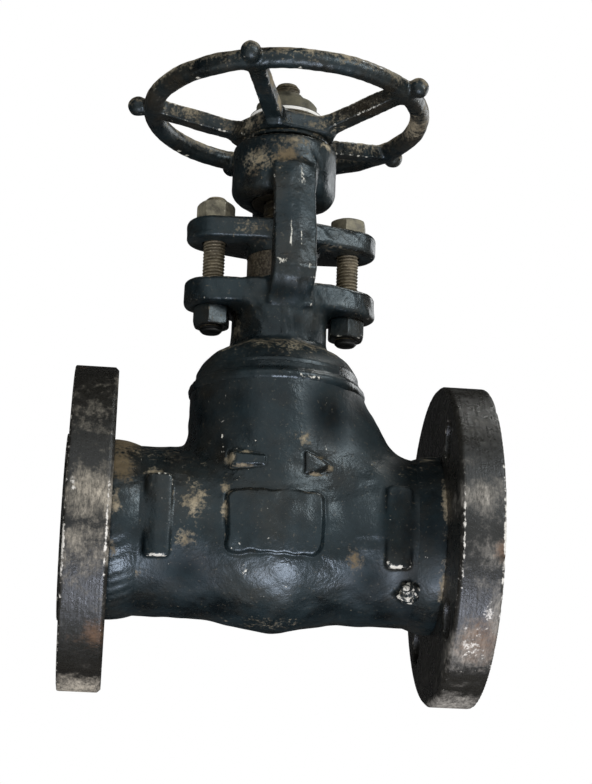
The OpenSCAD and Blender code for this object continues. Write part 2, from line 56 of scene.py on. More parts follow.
FLANGE_BACK = span("body")[0][0]
LENGTH = span("outlet_flange")[1][0]
STEM_X = (span("stem")[0][0] + span("stem")[1][0]) / 2
CHAMBER_TOP = span("body")[1][2]
CHAMBER_R = span("bonnet_weld")[1][1]
BARREL_R, BELLY_RISE, BELLY_REACH = 33.3, 4.0, 30.0
PAD_OUT, PAD_HALF_WIDTH, PAD_HALF_HEIGHT, PAD_RISE = 46.0, 5.0, 16.0, 1.0
SPOT_OUT, SPOT_DOWN, SPOT_R = 51.0, 23.6, 4.3
PLATE_HALF_WIDTH, PLATE_HALF_HEIGHT, PLATE_CORNER, PLATE_RISE = 17.6, 11.8, 3.4, 2.5
ARROW_TAIL = [(-18.4, 21.9), (-7.0, 21.8), (-7.0, 24.2), (-18.4, 25.6)]
ARROW_HEAD = [(9.6, 19.4), (17.6, 22.5), (9.6, 26.4)]
PORT_R, DROP_R, RISE_R = 19.0, 12.0, 11.0
POCKET_R, SEAT_R, CHAMBER_BORE_R = 15.0, 18.5, 27.0
POCKET_FLOOR, DROP_FOOT, SEAT_FLOOR, CHAMBER_FLOOR = -22.0, -14.0, 6.0, 14.0
BODY_STEP = 1.08


def melt(a, b, soft):
    """Union of two distance fields whose inside corner runs over in a fillet of about that size."""
    h = np.clip(0.5 + 0.5 * (b - a) / soft, 0, 1)
    return b + (a - b) * h - soft * h * (1 - h)


def meet(a, b, edge):
    """Where two fields overlap, with their outside edge rounded to that radius."""
    a, b = a + edge, b + edge
    return np.minimum(np.maximum(a, b), 0) + np.hypot(np.maximum(a, 0), np.maximum(b, 0)) - edge


def uneven(x, y, z, size, depth, seed):
    """Swells of hot-worked metal: crossing waves of about that size and depth in millimetres."""
    draw = np.random.default_rng(seed)
    swell = 0.0
    for way in draw.normal(size=(6, 3)):
        way = way * 2 * math.pi / (np.linalg.norm(way) * size * draw.uniform(0.7, 1.5))
        swell = swell + np.sin(x * way[0] + y * way[1] + z * way[2] + draw.uniform(0, 2 * math.pi))
    return swell * depth / 2.5


def slope(field, p):
    """Gradient of a field at the points, by small differences."""
    d = 0.04
    return np.stack([(field(*(p + e).T) - field(*(p - e).T)) / (2 * d) for e in np.eye(3) * d], 1)


def settle(field, p, reach):
    """Draws points on to the field's surface."""
    for _ in range(3):
        g = slope(field, p)
        move = g * (field(*p.T) / np.maximum((g * g).sum(1), 0.3))[:, None]
        p = p - np.clip(move, -reach, reach)
    return p


def put(name, points, faces):
    """New smooth object from points in millimetres."""
    mesh = bpy.data.meshes.new(name)
    mesh.from_pydata((np.asarray(points) / 1000).tolist(), [], [list(map(int, f)) for f in faces])
    mesh.shade_smooth()
    piece = bpy.data.objects.new(name, mesh)
    bpy.context.scene.collection.objects.link(piece)
    return piece


def cast(name, field, low, high, step):
    """Meshes a distance field: one point in each grid cell that the surface passes, joined in quads."""
    low = np.array(low, float)
    axes = [np.arange(a, b + step, step) for a, b in zip(low, high)]
    f = field(*np.meshgrid(*axes, indexing="ij"))
    inside = f < 0
    unit = np.eye(3, dtype=int)
    corners = [(i, j, k) for i in (0, 1) for j in (0, 1) for k in (0, 1)]
    count = sum(inside[tuple(slice(c, n - 1 + c) for c, n in zip(corner, f.shape))].astype(int)
                for corner in corners)
    cells = np.argwhere((count > 0) & (count < 8))
    number = np.full(count.shape, -1)
    number[tuple(cells.T)] = np.arange(len(cells))
    total, hits = np.zeros((len(cells), 3)), np.zeros(len(cells))
    for corner in corners:
        for axis in range(3):
            if corner[axis]:
                continue
            a, b = f[tuple((cells + corner).T)], f[tuple((cells + corner + unit[axis]).T)]
            cross = (a < 0) != (b < 0)
            at = np.tile(np.array(corner, float), (len(cells), 1))
            at[:, axis] = np.where(cross, a / np.where(cross, a - b, 1), 0)
            total += at * cross[:, None]
            hits += cross
    points = settle(field, low + step * (cells + total / hits[:, None]), step / 2)
    faces = []
    for axis in range(3):
        u, v = unit[[(axis + 1) % 3, (axis + 2) % 3]]
        n = f.shape[axis] - 1
        edges = np.argwhere(inside.take(range(n), axis) != inside.take(range(1, n + 1), axis))
        quad = np.stack([number[tuple(c.T)] for c in (edges, edges - u, edges - u - v, edges - v)], 1)
        outward = inside[tuple(edges.T)]
        faces.append(np.where(outward[:, None], quad, quad[:, ::-1]))
    return put(name, points, np.concatenate(faces))


def refine(piece, field, low, high, cuts):
    """Splits the faces inside a box and draws their points on to the field again, for crisp small relief."""
    low, high = np.array(low) / 1000, np.array(high) / 1000
    work = bmesh.new()
    work.from_mesh(piece.data)
    for face in work.faces:
        centre = np.array(face.calc_center_median())
        face.tag = bool(np.all((centre > low) & (centre < high)))
    edges = [edge for edge in work.edges if any(face.tag for face in edge.link_faces)]
    bmesh.ops.subdivide_edges(work, edges=edges, cuts=cuts, use_grid_fill=True)
    points = np.array([vert.co[:] for vert in work.verts])
    near = np.all((points > low - 0.001) & (points < high + 0.001), axis=1)
    points[near] = settle(field, points[near] * 1000, 0.25) / 1000
    for vert, point in zip(work.verts, points):
        vert.co = point
    work.to_mesh(piece.data)
    work.free()
    piece.data.shade_smooth()


def box_outline(x, y, half_x, half_y, corner):
    """Distance to a flat rectangle with round corners, centred."""
    qx, qy = np.abs(x) - half_x + corner, np.abs(y) - half_y + corner
    return np.hypot(np.maximum(qx, 0), np.maximum(qy, 0)) + np.minimum(np.maximum(qx, qy), 0) - corner


def polygon_outline(x, y, corners):
    """Distance to a flat polygon."""
    far = np.full(np.shape(x), 1e9)
    flip = np.ones(np.shape(x))
    for (ax, ay), (bx, by) in zip(corners, corners[1:] + corners[:1]):
        ex, ey, wx, wy = bx - ax, by - ay, x - ax, y - ay
        t = np.clip((wx * ex + wy * ey) / (ex * ex + ey * ey), 0, 1)
        far = np.minimum(far, (wx - ex * t) ** 2 + (wy - ey * t) ** 2)
        above, below = y >= ay, y < by
        left = ex * wy > ey * wx
        flip = np.where((above & below & left) | (~above & ~below & ~left), -flip, flip)
    return flip * np.sqrt(far)


def belly(u):
    """How far the barrel swells at a distance along the pipe from the stem."""
    return np.where(np.abs(u) < BELLY_REACH, BELLY_RISE / 2 * (1 + np.cos(np.pi * u / BELLY_REACH)), 0)


def body_skin(x, y, z):
    """The outside of the forging, without its relief and its passages."""
    u = x - STEM_X
    barrel = np.hypot(y, z) - BARREL_R - belly(u)
    upright = np.maximum(meet(np.hypot(u, y) - CHAMBER_R, z - CHAMBER_TOP, 0.6), -z)
    lean = math.radians(31)
    down = u * math.sin(lean) - (z - CHAMBER_TOP) * math.cos(lean)
    across = u * math.cos(lean) + (z - CHAMBER_TOP) * math.sin(lean)
    leaning = np.hypot(across, y) - (CHAMBER_R - 0.4) * math.cos(lean)
    leaning = np.maximum(np.maximum(leaning, z - CHAMBER_TOP + 0.4), np.maximum(-z, -down))
    # The corner between chamber and barrel opens from the middle to the sides
    fillet = 1.2 + 6.0 * np.clip((np.abs(u) - 12) / 18, 0, 1)
    skin = melt(barrel, melt(upright, leaning, 2.5), fillet)
    # The swells die out where the flange beads and the bonnet bead sit on it
    free = np.clip((x - 32) / 8, 0, 1) * np.clip((LENGTH - 32 - x) / 8, 0, 1)
    free = free * np.clip((CHAMBER_TOP - 1 - z) / 6, 0, 1)
    skin = skin - free * (uneven(x, y, z, 17, 0.24, 3) + uneven(x, y, z, 6, 0.07, 4))
    for side in (-1, 1):
        # A pad's outer half falls away to the barrel
        outer = np.maximum(side * u - PAD_OUT - 0.5, 0)
        outline = box_outline(u - side * PAD_OUT, z, PAD_HALF_WIDTH, PAD_HALF_HEIGHT, 2.0)
        pad = meet(outline, np.abs(y) - BARREL_R - PAD_RISE + 0.32 * outer, 0.6)
        skin = melt(skin, pad, 0.8)
    # A crusty spot of weld metal below the outlet's pad
    crust = uneven(x, y, z, 3.4, 0.8, 9)
    spot = np.hypot(np.hypot(u - SPOT_OUT, 0.8 * (y + SPOT_DOWN)), z + SPOT_DOWN) - SPOT_R - crust
    return melt(skin, spot, 0.6)


def raised(skin, outline, face):
    """A figure that stands out from the skin inside the outline: sloping walls, a crease at their foot."""
    rise = np.clip(skin - face, 0, 3)
    crease = 0.4 * np.clip(rise / 1.2, 0, 1) * np.exp(-((outline - 0.6 * rise - 0.3) / 0.6) ** 2)
    return melt(skin + crease, meet(face, (outline + 0.6 * face) / math.hypot(1, 0.6), 0.4), 0.3)


def body_relief(x, y, z):
    """The skin with the plate and the flow arrow; both are flatter than it, so their ends stand out most."""
    u, front = x - STEM_X, y + 10
    skin = body_skin(x, y, z)
    ragged = uneven(x, 0 * y, z, 8, 0.42, 8)
    plate = box_outline(u + 1.7, z + 0.8, PLATE_HALF_WIDTH, PLATE_HALF_HEIGHT, PLATE_CORNER)
    plate = np.maximum(plate + ragged, front)
    skin = raised(skin, plate, np.hypot(y, z) - BARREL_R - PLATE_RISE - 0.5 * belly(u) - 0.4 * ragged)
    height = 0.5 + 1.7 * np.clip((np.abs(u) - 6) / 11, 0, 1)
    tail = polygon_outline(u, z, ARROW_TAIL)
    skin = raised(skin, np.maximum(tail - 0.3 + 0.5 * ragged, front), skin - height)
    head = polygon_outline(u, z, ARROW_HEAD)
    return raised(skin, np.maximum(head - 0.2 + 0.5 * ragged, front), skin - height)


def slant(x, y, z, start, end, radius, lead_in):
    """A slanted passage in the pipe's upright plane, from start to end, run on before its start."""
    run_x, run_z = end[0] - start[0], end[1] - start[1]
    long = math.hypot(run_x, run_z)
    along = ((x - start[0]) * run_x + (z - start[1]) * run_z) / long
    off = ((x - start[0]) * run_z - (z - start[1]) * run_x) / long
    return np.maximum(np.hypot(off, y) - radius, np.maximum(-along - lead_in, along - long))


def body_field(x, y, z):
    """The whole forging: relief outside; ports, drop, pocket, seat, chamber and rise inside."""
    r = np.hypot(x - STEM_X, y)
    skin = np.maximum(body_relief(x, y, z), np.maximum(FLANGE_BACK - x, x - LENGTH + FLANGE_BACK))
    inlet_end, outlet_end = STEM_X - 34, STEM_X + 38
    ports = np.maximum(np.hypot(y, z) - PORT_R, np.minimum(x - inlet_end, outlet_end - x))
    drop = slant(x, y, z, (inlet_end, 0), (STEM_X, DROP_FOOT), DROP_R, 0)
    rise = slant(x, y, z, (STEM_X + CHAMBER_BORE_R, 24), (outlet_end + 11, 12), RISE_R, 11)
    pocket = np.maximum(r - POCKET_R, np.maximum(POCKET_FLOOR - z, z - SEAT_FLOOR - 2))
    seat = np.maximum(r - SEAT_R, np.maximum(SEAT_FLOOR - z, z - CHAMBER_FLOOR - 2))
    chamber = np.maximum(r - CHAMBER_BORE_R, CHAMBER_FLOOR - z)
    return np.maximum(skin, -np.minimum.reduce([ports, drop, rise, pocket, seat, chamber]))


body = cast("valve_body", body_field, (16, -42, -40), (149, 42, 61), BODY_STEP)
refine(body, body_field, (STEM_X - 24, -45, -16), (STEM_X + 22, -24, 33), 2)
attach(body, "valve")
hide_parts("body")


def tone(code):
    """sRGB hex colour to the linear numbers that a socket takes."""
    part = [int(code[i:i + 2], 16) / 255 for i in (1, 3, 5)]
    return tuple(c / 12.92 if c <= 0.04045 else ((c + 0.055) / 1.055) ** 2.4 for c in part) + (1.0,)


def add(tree, kind, output, inputs, **settings):
    """Adds a node and gives back the named output; an input is a number, a colour or another output."""
    made = tree.nodes.new("ShaderNode" + kind)
    for key, value in settings.items():
        setattr(made, key, value)
    for socket, value in inputs.items():
        if isinstance(value, bpy.types.NodeSocket):
            tree.links.new(value, made.inputs[socket])
        else:
            made.inputs[socket].default_value = value
    return made.outputs[output] if output else made


def blank(name):
    """An empty material, its node tree and the place on the valve, in metres, that lays out its patterns."""
    made = bpy.data.materials.new(name)
    made.use_nodes = True
    made.node_tree.nodes.clear()
    return made, made.node_tree, add(made.node_tree, "TexCoord", "Object", {})


def surface(tree, sockets):
    """Ends a material's tree in one shader."""
    shader = add(tree, "BsdfPrincipled", "BSDF", sockets)
    add(tree, "OutputMaterial", None, {"Surface": shader})


def patchy(tree, place, film, patches):
    """The film, or where a point lies inside a patch, how near it is to the middle; sizes in millimetres."""
    for centre, reach, depth in patches:
        inward = add(tree, "Mapping", "Vector", {"Vector": place, "Scale": [1000 / r for r in reach],
                                                 "Location": [-c / r for c, r in zip(centre, reach)]})
        away = add(tree, "VectorMath", "Value", {0: inward}, operation="LENGTH")
        near = add(tree, "MapRange", "Result",
                   {"Value": away, "From Min": 1.0, "From Max": 0.0, "To Max": depth})
        film = add(tree, "Math", "Value", {0: film, 1: near}, operation="MAXIMUM")
    return film


def black_paint(name, dust, wear, dust_and_painted_light=(), rusty=(), dead=(), pale_flecks=(), settles=0.25, drawn=1.0):
    """Black alkyd paint brushed thickly on a forging: it shines unevenly, and wears pale at edges and nicks.

    Khaki dust sticks to it where it faces up, in corners and in the dust patches, a few of which also paint
    in light that falls on one side of a part; rust comes through in the rusty ones, and it has gone matt in
    the dead ones. In the fleck patches it shows pale flecks of bare steel: paint come off in most, painted
    glints and highlights in some. Settles is how steep a face may stand, as the height of its normal, and
    still hold dust.
    Drawn is below one where the nicks are drawn out upwards.
    """
    made, tree, place = blank(name)
    edge = add(tree, "NewGeometry", None, {})
    # Coats of different age, in areas about 18 mm across
    cloud = add(tree, "TexNoise", "Fac",
                {"Vector": place, "Scale": 1000 / 18, "Detail": 7.0, "Roughness": 0.65})
    aged = add(tree, "MapRange", "Result", {"Value": cloud, "From Min": 0.36, "From Max": 0.66})
    paint = add(tree, "Mix", "Result", {"Factor": aged, "A": tone("#060b0d"), "B": tone("#172124")},
                data_type="RGBA")
    # A brown film of handling, in areas about 32 mm across
    grime = add(tree, "TexNoise", "Fac",
                {"Vector": place, "Scale": 1000 / 32, "Detail": 9.0, "Roughness": 0.72})
    brown = add(tree, "MapRange", "Result",
                {"Value": grime, "From Min": 0.46, "From Max": 0.74, "To Max": 0.8 * dust})
    paint = add(tree, "Mix", "Result", {"Factor": brown, "A": paint, "B": tone("#322b20")}, data_type="RGBA")
    # Dust and rust spread from their patches in blots about 6 mm across with fine broken edges; a few dust
    # patches also paint in light that falls on one side of a part
    blot = add(tree, "TexNoise", "Fac",
               {"Vector": place, "Scale": 1000 / 6, "Detail": 12.0, "Roughness": 0.82})
    wrinkle = add(tree, "TexNoise", "Fac",
                  {"Vector": place, "Scale": 1000 / 1.3, "Detail": 4.0, "Roughness": 0.6})
    broken = add(tree, "Math", "Value", {0: wrinkle, 1: 0.5, 2: blot}, operation="MULTIPLY_ADD")
    up = add(tree, "SeparateXYZ", "Z", {"Vector": edge.outputs["Normal"]})
    lying = add(tree, "MapRange", "Result",
                {"Value": up, "From Min": settles, "From Max": 1.0, "To Max": 0.7 * dust})
    corner = add(tree, "MapRange", "Result", {"Value": edge.outputs["Pointiness"], "From Min": 0.485,
                                              "From Max": 0.43, "To Max": 0.9 * dust})
    film = add(tree, "Math", "Value", {0: lying, 1: corner}, operation="MAXIMUM")
    film = patchy(tree, place, film, dust_and_painted_light)
    spread = add(tree, "Math", "Value", {0: broken, 1: 2.4, 2: film}, operation="MULTIPLY_ADD")
    dust_and_light_cover = add(tree, "MapRange", "Result",
               {"Value": spread, "From Min": 2.22, "From Max": 2.68, "To Max": 0.9})
    dust_and_light_tone = add(tree, "Mix", "Result", {"Factor": aged, "A": tone("#4d4536"), "B": tone("#a69b83")},
               data_type="RGBA")
    colour = add(tree, "Mix", "Result", {"Factor": dust_and_light_cover, "A": paint, "B": dust_and_light_tone}, data_type="RGBA")
    stray = add(tree, "MapRange", "Result",
                {"Value": grime, "From Min": 0.7, "From Max": 0.9, "To Max": 0.3})
    bleed = patchy(tree, place, stray, rusty)
    bleed = add(tree, "Math", "Value", {0: broken, 1: 2.4, 2: bleed}, operation="MULTIPLY_ADD")
    rust = add(tree, "MapRange", "Result",
               {"Value": bleed, "From Min": 2.26, "From Max": 2.75, "To Max": 0.9})
    ochre = add(tree, "Mix", "Result", {"Factor": cloud, "A": tone("#2c271d"), "B": tone("#83745b")},
                data_type="RGBA")
    colour = add(tree, "Mix", "Result", {"Factor": rust, "A": colour, "B": ochre}, data_type="RGBA")
    # Nicks down to steel, about 2 mm, here and there and more on edges; the fleck patches add more, paint
    # come off in most and painted glints and highlights in some
    pulled = add(tree, "Mapping", "Vector", {"Vector": place, "Scale": (1.0, 1.0, drawn)})
    nick = add(tree, "TexNoise", "Fac",
               {"Vector": pulled, "Scale": 1000 / 2.1, "Detail": 5.0, "Roughness": 0.7})
    proud = add(tree, "MapRange", "Result", {"Value": edge.outputs["Pointiness"], "From Min": 0.51,
                                             "From Max": 0.60, "To Max": wear})
    keen = add(tree, "Math", "Value", {0: nick, 1: proud}, operation="ADD")
    keen = add(tree, "Math", "Value", {0: grime, 1: 0.25, 2: keen}, operation="MULTIPLY_ADD")
    flakes_and_painted_glints = patchy(tree, place, 0.0, pale_flecks)
    keen = add(tree, "Math", "Value", {0: flakes_and_painted_glints, 1: 0.5, 2: keen}, operation="MULTIPLY_ADD")
    bare = add(tree, "MapRange", "Result", {"Value": keen, "From Min": 0.82, "From Max": 0.90})
    colour = add(tree, "Mix", "Result", {"Factor": bare, "A": colour, "B": tone("#bdbbb0")},
                 data_type="RGBA")
    # Runs and wrinkles of thick paint, 5 mm and 1.3 mm across; dust sticks to the highest of the wrinkles
    lump = add(tree, "TexNoise", "Fac",
               {"Vector": place, "Scale": 1000 / 5, "Detail": 3.0, "Roughness": 0.5})
    speck = add(tree, "MapRange", "Result",
                {"Value": wrinkle, "From Min": 0.62, "From Max": 0.76, "To Max": 0.5})
    colour = add(tree, "Mix", "Result", {"Factor": speck, "A": colour, "B": tone("#5d574a")},
                 data_type="RGBA")
    height = add(tree, "Math", "Value", {0: lump, 1: 1.6, 2: wrinkle}, operation="MULTIPLY_ADD")
    relief = add(tree, "Bump", "Normal", {"Height": height, "Distance": 0.00022, "Strength": 0.8})
    shine = add(tree, "MapRange", "Result",
                {"Value": cloud, "From Min": 0.3, "From Max": 0.7, "To Min": 0.2, "To Max": 0.42})
    matt = patchy(tree, place, add(tree, "Math", "Value", {0: dust_and_light_cover, 1: rust}, operation="MAXIMUM"), dead)
    dull = add(tree, "Mix", "Result", {"Factor": matt, "A": shine, "B": 0.88})
    sheen = add(tree, "MapRange", "Result", {"Value": matt, "From Max": 0.8, "To Min": 0.5, "To Max": 0.12})
    surface(tree, {"Base Color": colour, "Roughness": dull, "Specular IOR Level": sheen,
                   "Specular Tint": tone("#d2e4ec"), "Normal": relief})
    return made


def finish(piece, *coats):
    """Gives a piece its materials in place of any it has."""
    piece.data.materials.clear()
    for coat in coats:
        piece.data.materials.append(coat)


finish(body, black_paint(
    "brushed_black_paint", 0.6, 0.2,
    dust_and_painted_light=[((50, -32, 6), (8, 14, 14), 0.9), ((47, -33, -9), (6, 12, 7), 0.75),
           ((61, -33, 11.5), (4, 9, 4), 1.0), ((61, -34, 2), (2.5, 9, 8), 0.8),
           ((91, -33, 33), (8, 9, 8), 0.7), ((34, -30, 17), (6, 10, 4), 1.0),
           ((28, -28, -22), (7, 12, 8), 0.6), ((129, -33, 16.8), (6, 6, 1.6), 1.2),
           # The long patch at the barrel's underside gives its lower edge a pale khaki line along its whole
           # length.
           ((82, -12, -37), (70, 14, 5), 0.6), ((62.5, -32, 23.7), (3.6, 9, 4), 1.2),
           ((68, -32, 21), (7, 9, 1.3), 1.0), ((68, -32, 26.4), (7, 9, 1.2), 0.9),
           ((96, -32, 19), (6, 9, 1.3), 1.1), ((97, -31, 25.6), (5, 9, 1.5), 0.9),
           ((101.5, -30, 22), (2.2, 9, 2.2), 1.1), ((133, -24, -24), (6, 8, 6), 0.9)],
    rusty=[((112, -32, -13), (7, 12, 10), 0.8), ((126, -30, 22), (9, 12, 8), 0.35)],
    dead=[((128, -33, 0), (10, 8, 20), 1.6), ((62, -28, 44), (14, 20, 18), 0.9),
          ((132, -20, 20), (16, 20, 22), 1.0), ((118, -12, 42), (22, 24, 26), 1.1),
          ((137, -20, -20), (14, 24, 24), 0.9), ((100, -29, 45), (15, 14, 20), 1.0),
          ((48, -25, -20), (20, 20, 16), 0.75), ((118, -25, -20), (14, 20, 16), 0.7)],
    # Fleck patches: the first is a real crust of weld metal; the two on the pads' bottom edges are nicks and
    # partly a painted highlight; the three on the belly paint glints of light, and the last paints the
    # highlight along the arrow head's lower edge.
    pale_flecks=[((133, -25, -24), (5.5, 8, 5.5), 0.55), ((36, -34, -16), (5, 5, 1.5), 0.6),
             ((128, -34, -16.2), (5, 5, 1.5), 0.7), ((STEM_X - 12, -31, -20), (2, 7, 6), 0.42),
             ((STEM_X + 6, -31, -24), (5, 7, 2), 0.42), ((STEM_X + 14, -30, -23), (2, 6, 3), 0.42),
             ((STEM_X + 16, -30, 22.4), (2, 8, 1.3), 0.5)]))

# Pipe flanges: plates cut and turned from steel, with four bolt holes and a low raised face.
# They are welded on the barrel. Their rims keep the turning marks, are dented at the edges, and have
# lost paint there down to the steel.
FLANGE_R = span("inlet_flange")[1][1]
RAISED_FACE, RAISED_R = 1.6, 36.5
BEVEL, DENTS = 1.3, 22
# The four holes' places across and up, on a circle of 98.4 mm
BOLT_AT, BOLT_HOLE_R = 34.79, 8.0


def carve(a, b, soft):
    """What is left of field a once b is cut away, with the edge rounded over by about that size."""
    return -melt(-a, b, soft)


def flange_field(x, y, z, seed):
    """The flange at the inlet; the outlet's is its mirror image with other dents."""
    r = np.hypot(y, z)
    middle, half = (FLANGE_BACK + RAISED_FACE) / 2, (FLANGE_BACK - RAISED_FACE) / 2
    plate = meet(r - FLANGE_R, np.abs(x - middle) - half, 0.7)
    plate = np.maximum(plate, (r - FLANGE_R + x - FLANGE_BACK + BEVEL) / math.sqrt(2))
    draw = np.random.default_rng(seed)
    for _ in range(DENTS):
        angle, rim, size = draw.uniform(0, 2 * math.pi), draw.choice([-half, half]), draw.uniform(1.2, 3.4)
        out = FLANGE_R + 0.72 * size
        across, up = y - out * math.cos(angle), z - out * math.sin(angle)
        dent = np.sqrt((x - middle - 1.05 * rim) ** 2 + across ** 2 + up ** 2)
        plate = carve(plate, dent - size, 0.5)
    face = meet(r - RAISED_R, np.abs(x - 5) - 5, 0.4)
    holes = np.hypot(np.abs(y) - BOLT_AT, np.abs(z) - BOLT_AT) - BOLT_HOLE_R
    return carve(carve(np.minimum(plate, face), holes, 0.5), r - PORT_R, 0.4)


def scuffed_paint(name, worn, rusty, lips, pale_flecks, pale):
    """Thin black paint on turned steel: streaked, and rubbed to brown-grey steel in the worn patches.

    It is knocked bright along the edges inside the lips patches, and its paint has come off in small flecks
    in the fleck patches.
    """
    made, tree, place = blank(name)
    edge = add(tree, "NewGeometry", "Pointiness", {})
    # Thicker and thinner paint in areas about 22 mm across
    cloud = add(tree, "TexNoise", "Fac",
                {"Vector": place, "Scale": 1000 / 22, "Detail": 9.0, "Roughness": 0.7})
    blot = add(tree, "TexNoise", "Fac",
               {"Vector": place, "Scale": 1000 / 4.5, "Detail": 12.0, "Roughness": 0.9})
    paint = add(tree, "Mix", "Result", {"Factor": cloud, "A": tone("#0a0a09"), "B": tone("#25231e")},
                data_type="RGBA")
    # Rubbed places fade into the paint and break up into specks about 4 mm across and finer
    thin_coat = add(tree, "MapRange", "Result",
                    {"Value": cloud, "From Min": 0.35, "From Max": 0.75, "To Max": 0.35})
    film = patchy(tree, place, thin_coat, worn)
    film = add(tree, "Math", "Value", {0: blot, 1: 1.5, 2: film}, operation="MULTIPLY_ADD")
    drift = add(tree, "TexNoise", "Fac",
                {"Vector": place, "Scale": 1000 / 9, "Detail": 10.0, "Roughness": 0.75})
    film = add(tree, "Math", "Value", {0: drift, 1: 1.8, 2: film}, operation="MULTIPLY_ADD")
    thin = add(tree, "MapRange", "Result", {"Value": film, "From Min": 2.0, "From Max": 3.0, "To Max": 0.9})
    # The steel that shows is streaked along the turning marks, in flecks 1.3 mm wide
    streak = add(tree, "Mapping", "Vector", {"Vector": place, "Scale": (1.0, 0.3, 0.3)})
    fleck = add(tree, "TexNoise", "Fac",
                {"Vector": streak, "Scale": 1000 / 1.3, "Detail": 8.0, "Roughness": 0.85})
    fleck = add(tree, "MapRange", "Result", {"Value": fleck, "From Min": 0.36, "From Max": 0.64})
    steel = add(tree, "Mix", "Result", {"Factor": fleck, "A": tone("#2a2620"), "B": tone(pale)},
                data_type="RGBA")
    colour = add(tree, "Mix", "Result", {"Factor": thin, "A": paint, "B": steel}, data_type="RGBA")
    stray = add(tree, "MapRange", "Result",
                {"Value": cloud, "From Min": 0.62, "From Max": 0.9, "To Max": 0.4})
    bleed = patchy(tree, place, stray, rusty)
    bleed = add(tree, "Math", "Value", {0: blot, 1: 2.4, 2: bleed}, operation="MULTIPLY_ADD")
    rust = add(tree, "MapRange", "Result",
               {"Value": bleed, "From Min": 1.6, "From Max": 2.3, "To Max": 0.85})
    ochre = add(tree, "Mix", "Result", {"Factor": blot, "A": tone("#1f1510"), "B": tone("#7a5a3c")},
                data_type="RGBA")
    colour = add(tree, "Mix", "Result", {"Factor": rust, "A": colour, "B": ochre}, data_type="RGBA")
    # Nicks about 2.5 mm, most of them on the edges
    nick = add(tree, "TexNoise", "Fac",
               {"Vector": place, "Scale": 1000 / 2.5, "Detail": 6.0, "Roughness": 0.72})
    proud = add(tree, "MapRange", "Result",
                {"Value": edge, "From Min": 0.51, "From Max": 0.58, "To Max": 0.24})
    sharp = add(tree, "MapRange", "Result", {"Value": edge, "From Min": 0.503, "From Max": 0.53})
    struck = add(tree, "Math", "Value", {0: sharp, 1: patchy(tree, place, 0.0, lips)}, operation="MULTIPLY")
    proud = add(tree, "Math", "Value", {0: proud, 1: struck}, operation="MAXIMUM")
    keen = add(tree, "Math", "Value", {0: nick, 1: patchy(tree, place, proud, pale_flecks)}, operation="ADD")
    bare = add(tree, "MapRange", "Result", {"Value": keen, "From Min": 0.69, "From Max": 0.80})
    colour = add(tree, "Mix", "Result", {"Factor": bare, "A": colour, "B": tone("#c4c1b8")},
                 data_type="RGBA")
    # Turning rings round the pipe axis, drawn 0.8 mm apart: the real 0.2 mm wouldn't show
    ringed = add(tree, "Mapping", "Vector", {"Vector": place, "Scale": (1.0, 0.05, 0.05)})
    rings = add(tree, "TexNoise", "Fac", {"Vector": ringed, "Scale": 1000 / 0.8, "Detail": 2.0})
    rough = add(tree, "MapRange", "Result",
                {"Value": film, "From Min": 1.7, "From Max": 2.7, "To Min": 0.26, "To Max": 0.7})
    height = add(tree, "Math", "Value", {0: rings, 1: 0.35, 2: nick}, operation="MULTIPLY_ADD")
    relief = add(tree, "Bump", "Normal", {"Height": height, "Distance": 0.0004, "Strength": 0.75})
    surface(tree,
            {"Base Color": colour, "Roughness": rough, "Specular Tint": tone("#dde6ec"), "Normal": relief})
    return made


inlet = cast("inlet_pipe_flange", lambda x, y, z: flange_field(x, y, z, 5),
             (-2, -66, -66), (21, 66, 66), 0.85)
outlet = cast("outlet_pipe_flange", lambda x, y, z: flange_field(LENGTH - x, y, z, 6),
              (LENGTH - 21, -66, -66), (LENGTH + 2, 66, 66), 0.85)
for piece, node in ((inlet, "inlet_flange"), (outlet, "outlet_flange")):
    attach(piece, "valve")
    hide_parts(node)
BEVEL_X, LIP_X = FLANGE_BACK - BEVEL, RAISED_FACE + 0.4
finish(inlet, scuffed_paint(
    "scuffed_paint_inlet", pale="#c2b9a6",
    worn=[((12, -62, 0), (22, 40, 17), 1.25), ((9, -60, -18), (24, 40, 20), 0.8),
          ((8, -54, 34), (24, 34, 34), 0.5), ((10, -10, -64), (22, 50, 6), 1.5),
          ((19, -30, 30), (4, 34, 38), 1.2), ((8, -20, 62), (18, 30, 5), 0.6)],
    rusty=[((15, -44, -48), (9, 22, 11), 0.95), ((8, -40, -50), (12, 20, 9), 0.5),
           ((4, -25, 58), (6, 20, 8), 0.6)],
    lips=[((BEVEL_X, -62, -15), (1.6, 60, 34), 0.36), ((LIP_X, -62, -20), (1.6, 40, 20), 0.36)],
    pale_flecks=[((LIP_X + 2, -62, 4), (2.5, 20, 8), 0.24)]))
finish(outlet, scuffed_paint(
    "scuffed_paint_outlet", pale="#a7a297",
    worn=[((154, -62, 7), (17, 30, 12), 1.2), ((157, -60, -16), (18, 34, 22), 0.6),
          ((162, -50, -38), (6, 30, 28), 1.2), ((155, -10, -64), (22, 50, 6), 1.5),
          ((154, -44, -46), (18, 26, 16), 1.2), ((144, -36, -50), (5, 30, 20), 1.0)],
    rusty=[((162, -61, -13), (6, 20, 8), 0.9), ((157, -46, -45), (16, 26, 18), 0.95)],
    lips=[((LENGTH - LIP_X, -62, -8), (1.6, 60, 50), 0.34),
          ((LENGTH - BEVEL_X, -62, -10), (1.6, 50, 36), 0.34)],
    pale_flecks=[((154, -45, -47), (9, 24, 12), 0.22), ((159, -52, -36), (6, 20, 14), 0.2)]))

# Flange welds: one fillet run round the barrel behind each flange, smoothed with a file and painted over.
# The inlet's is rusty and dusty on top, where water has stood between the weld and the flange.
BEAD_LONG, BEAD_RISE = 11.0, 2.3


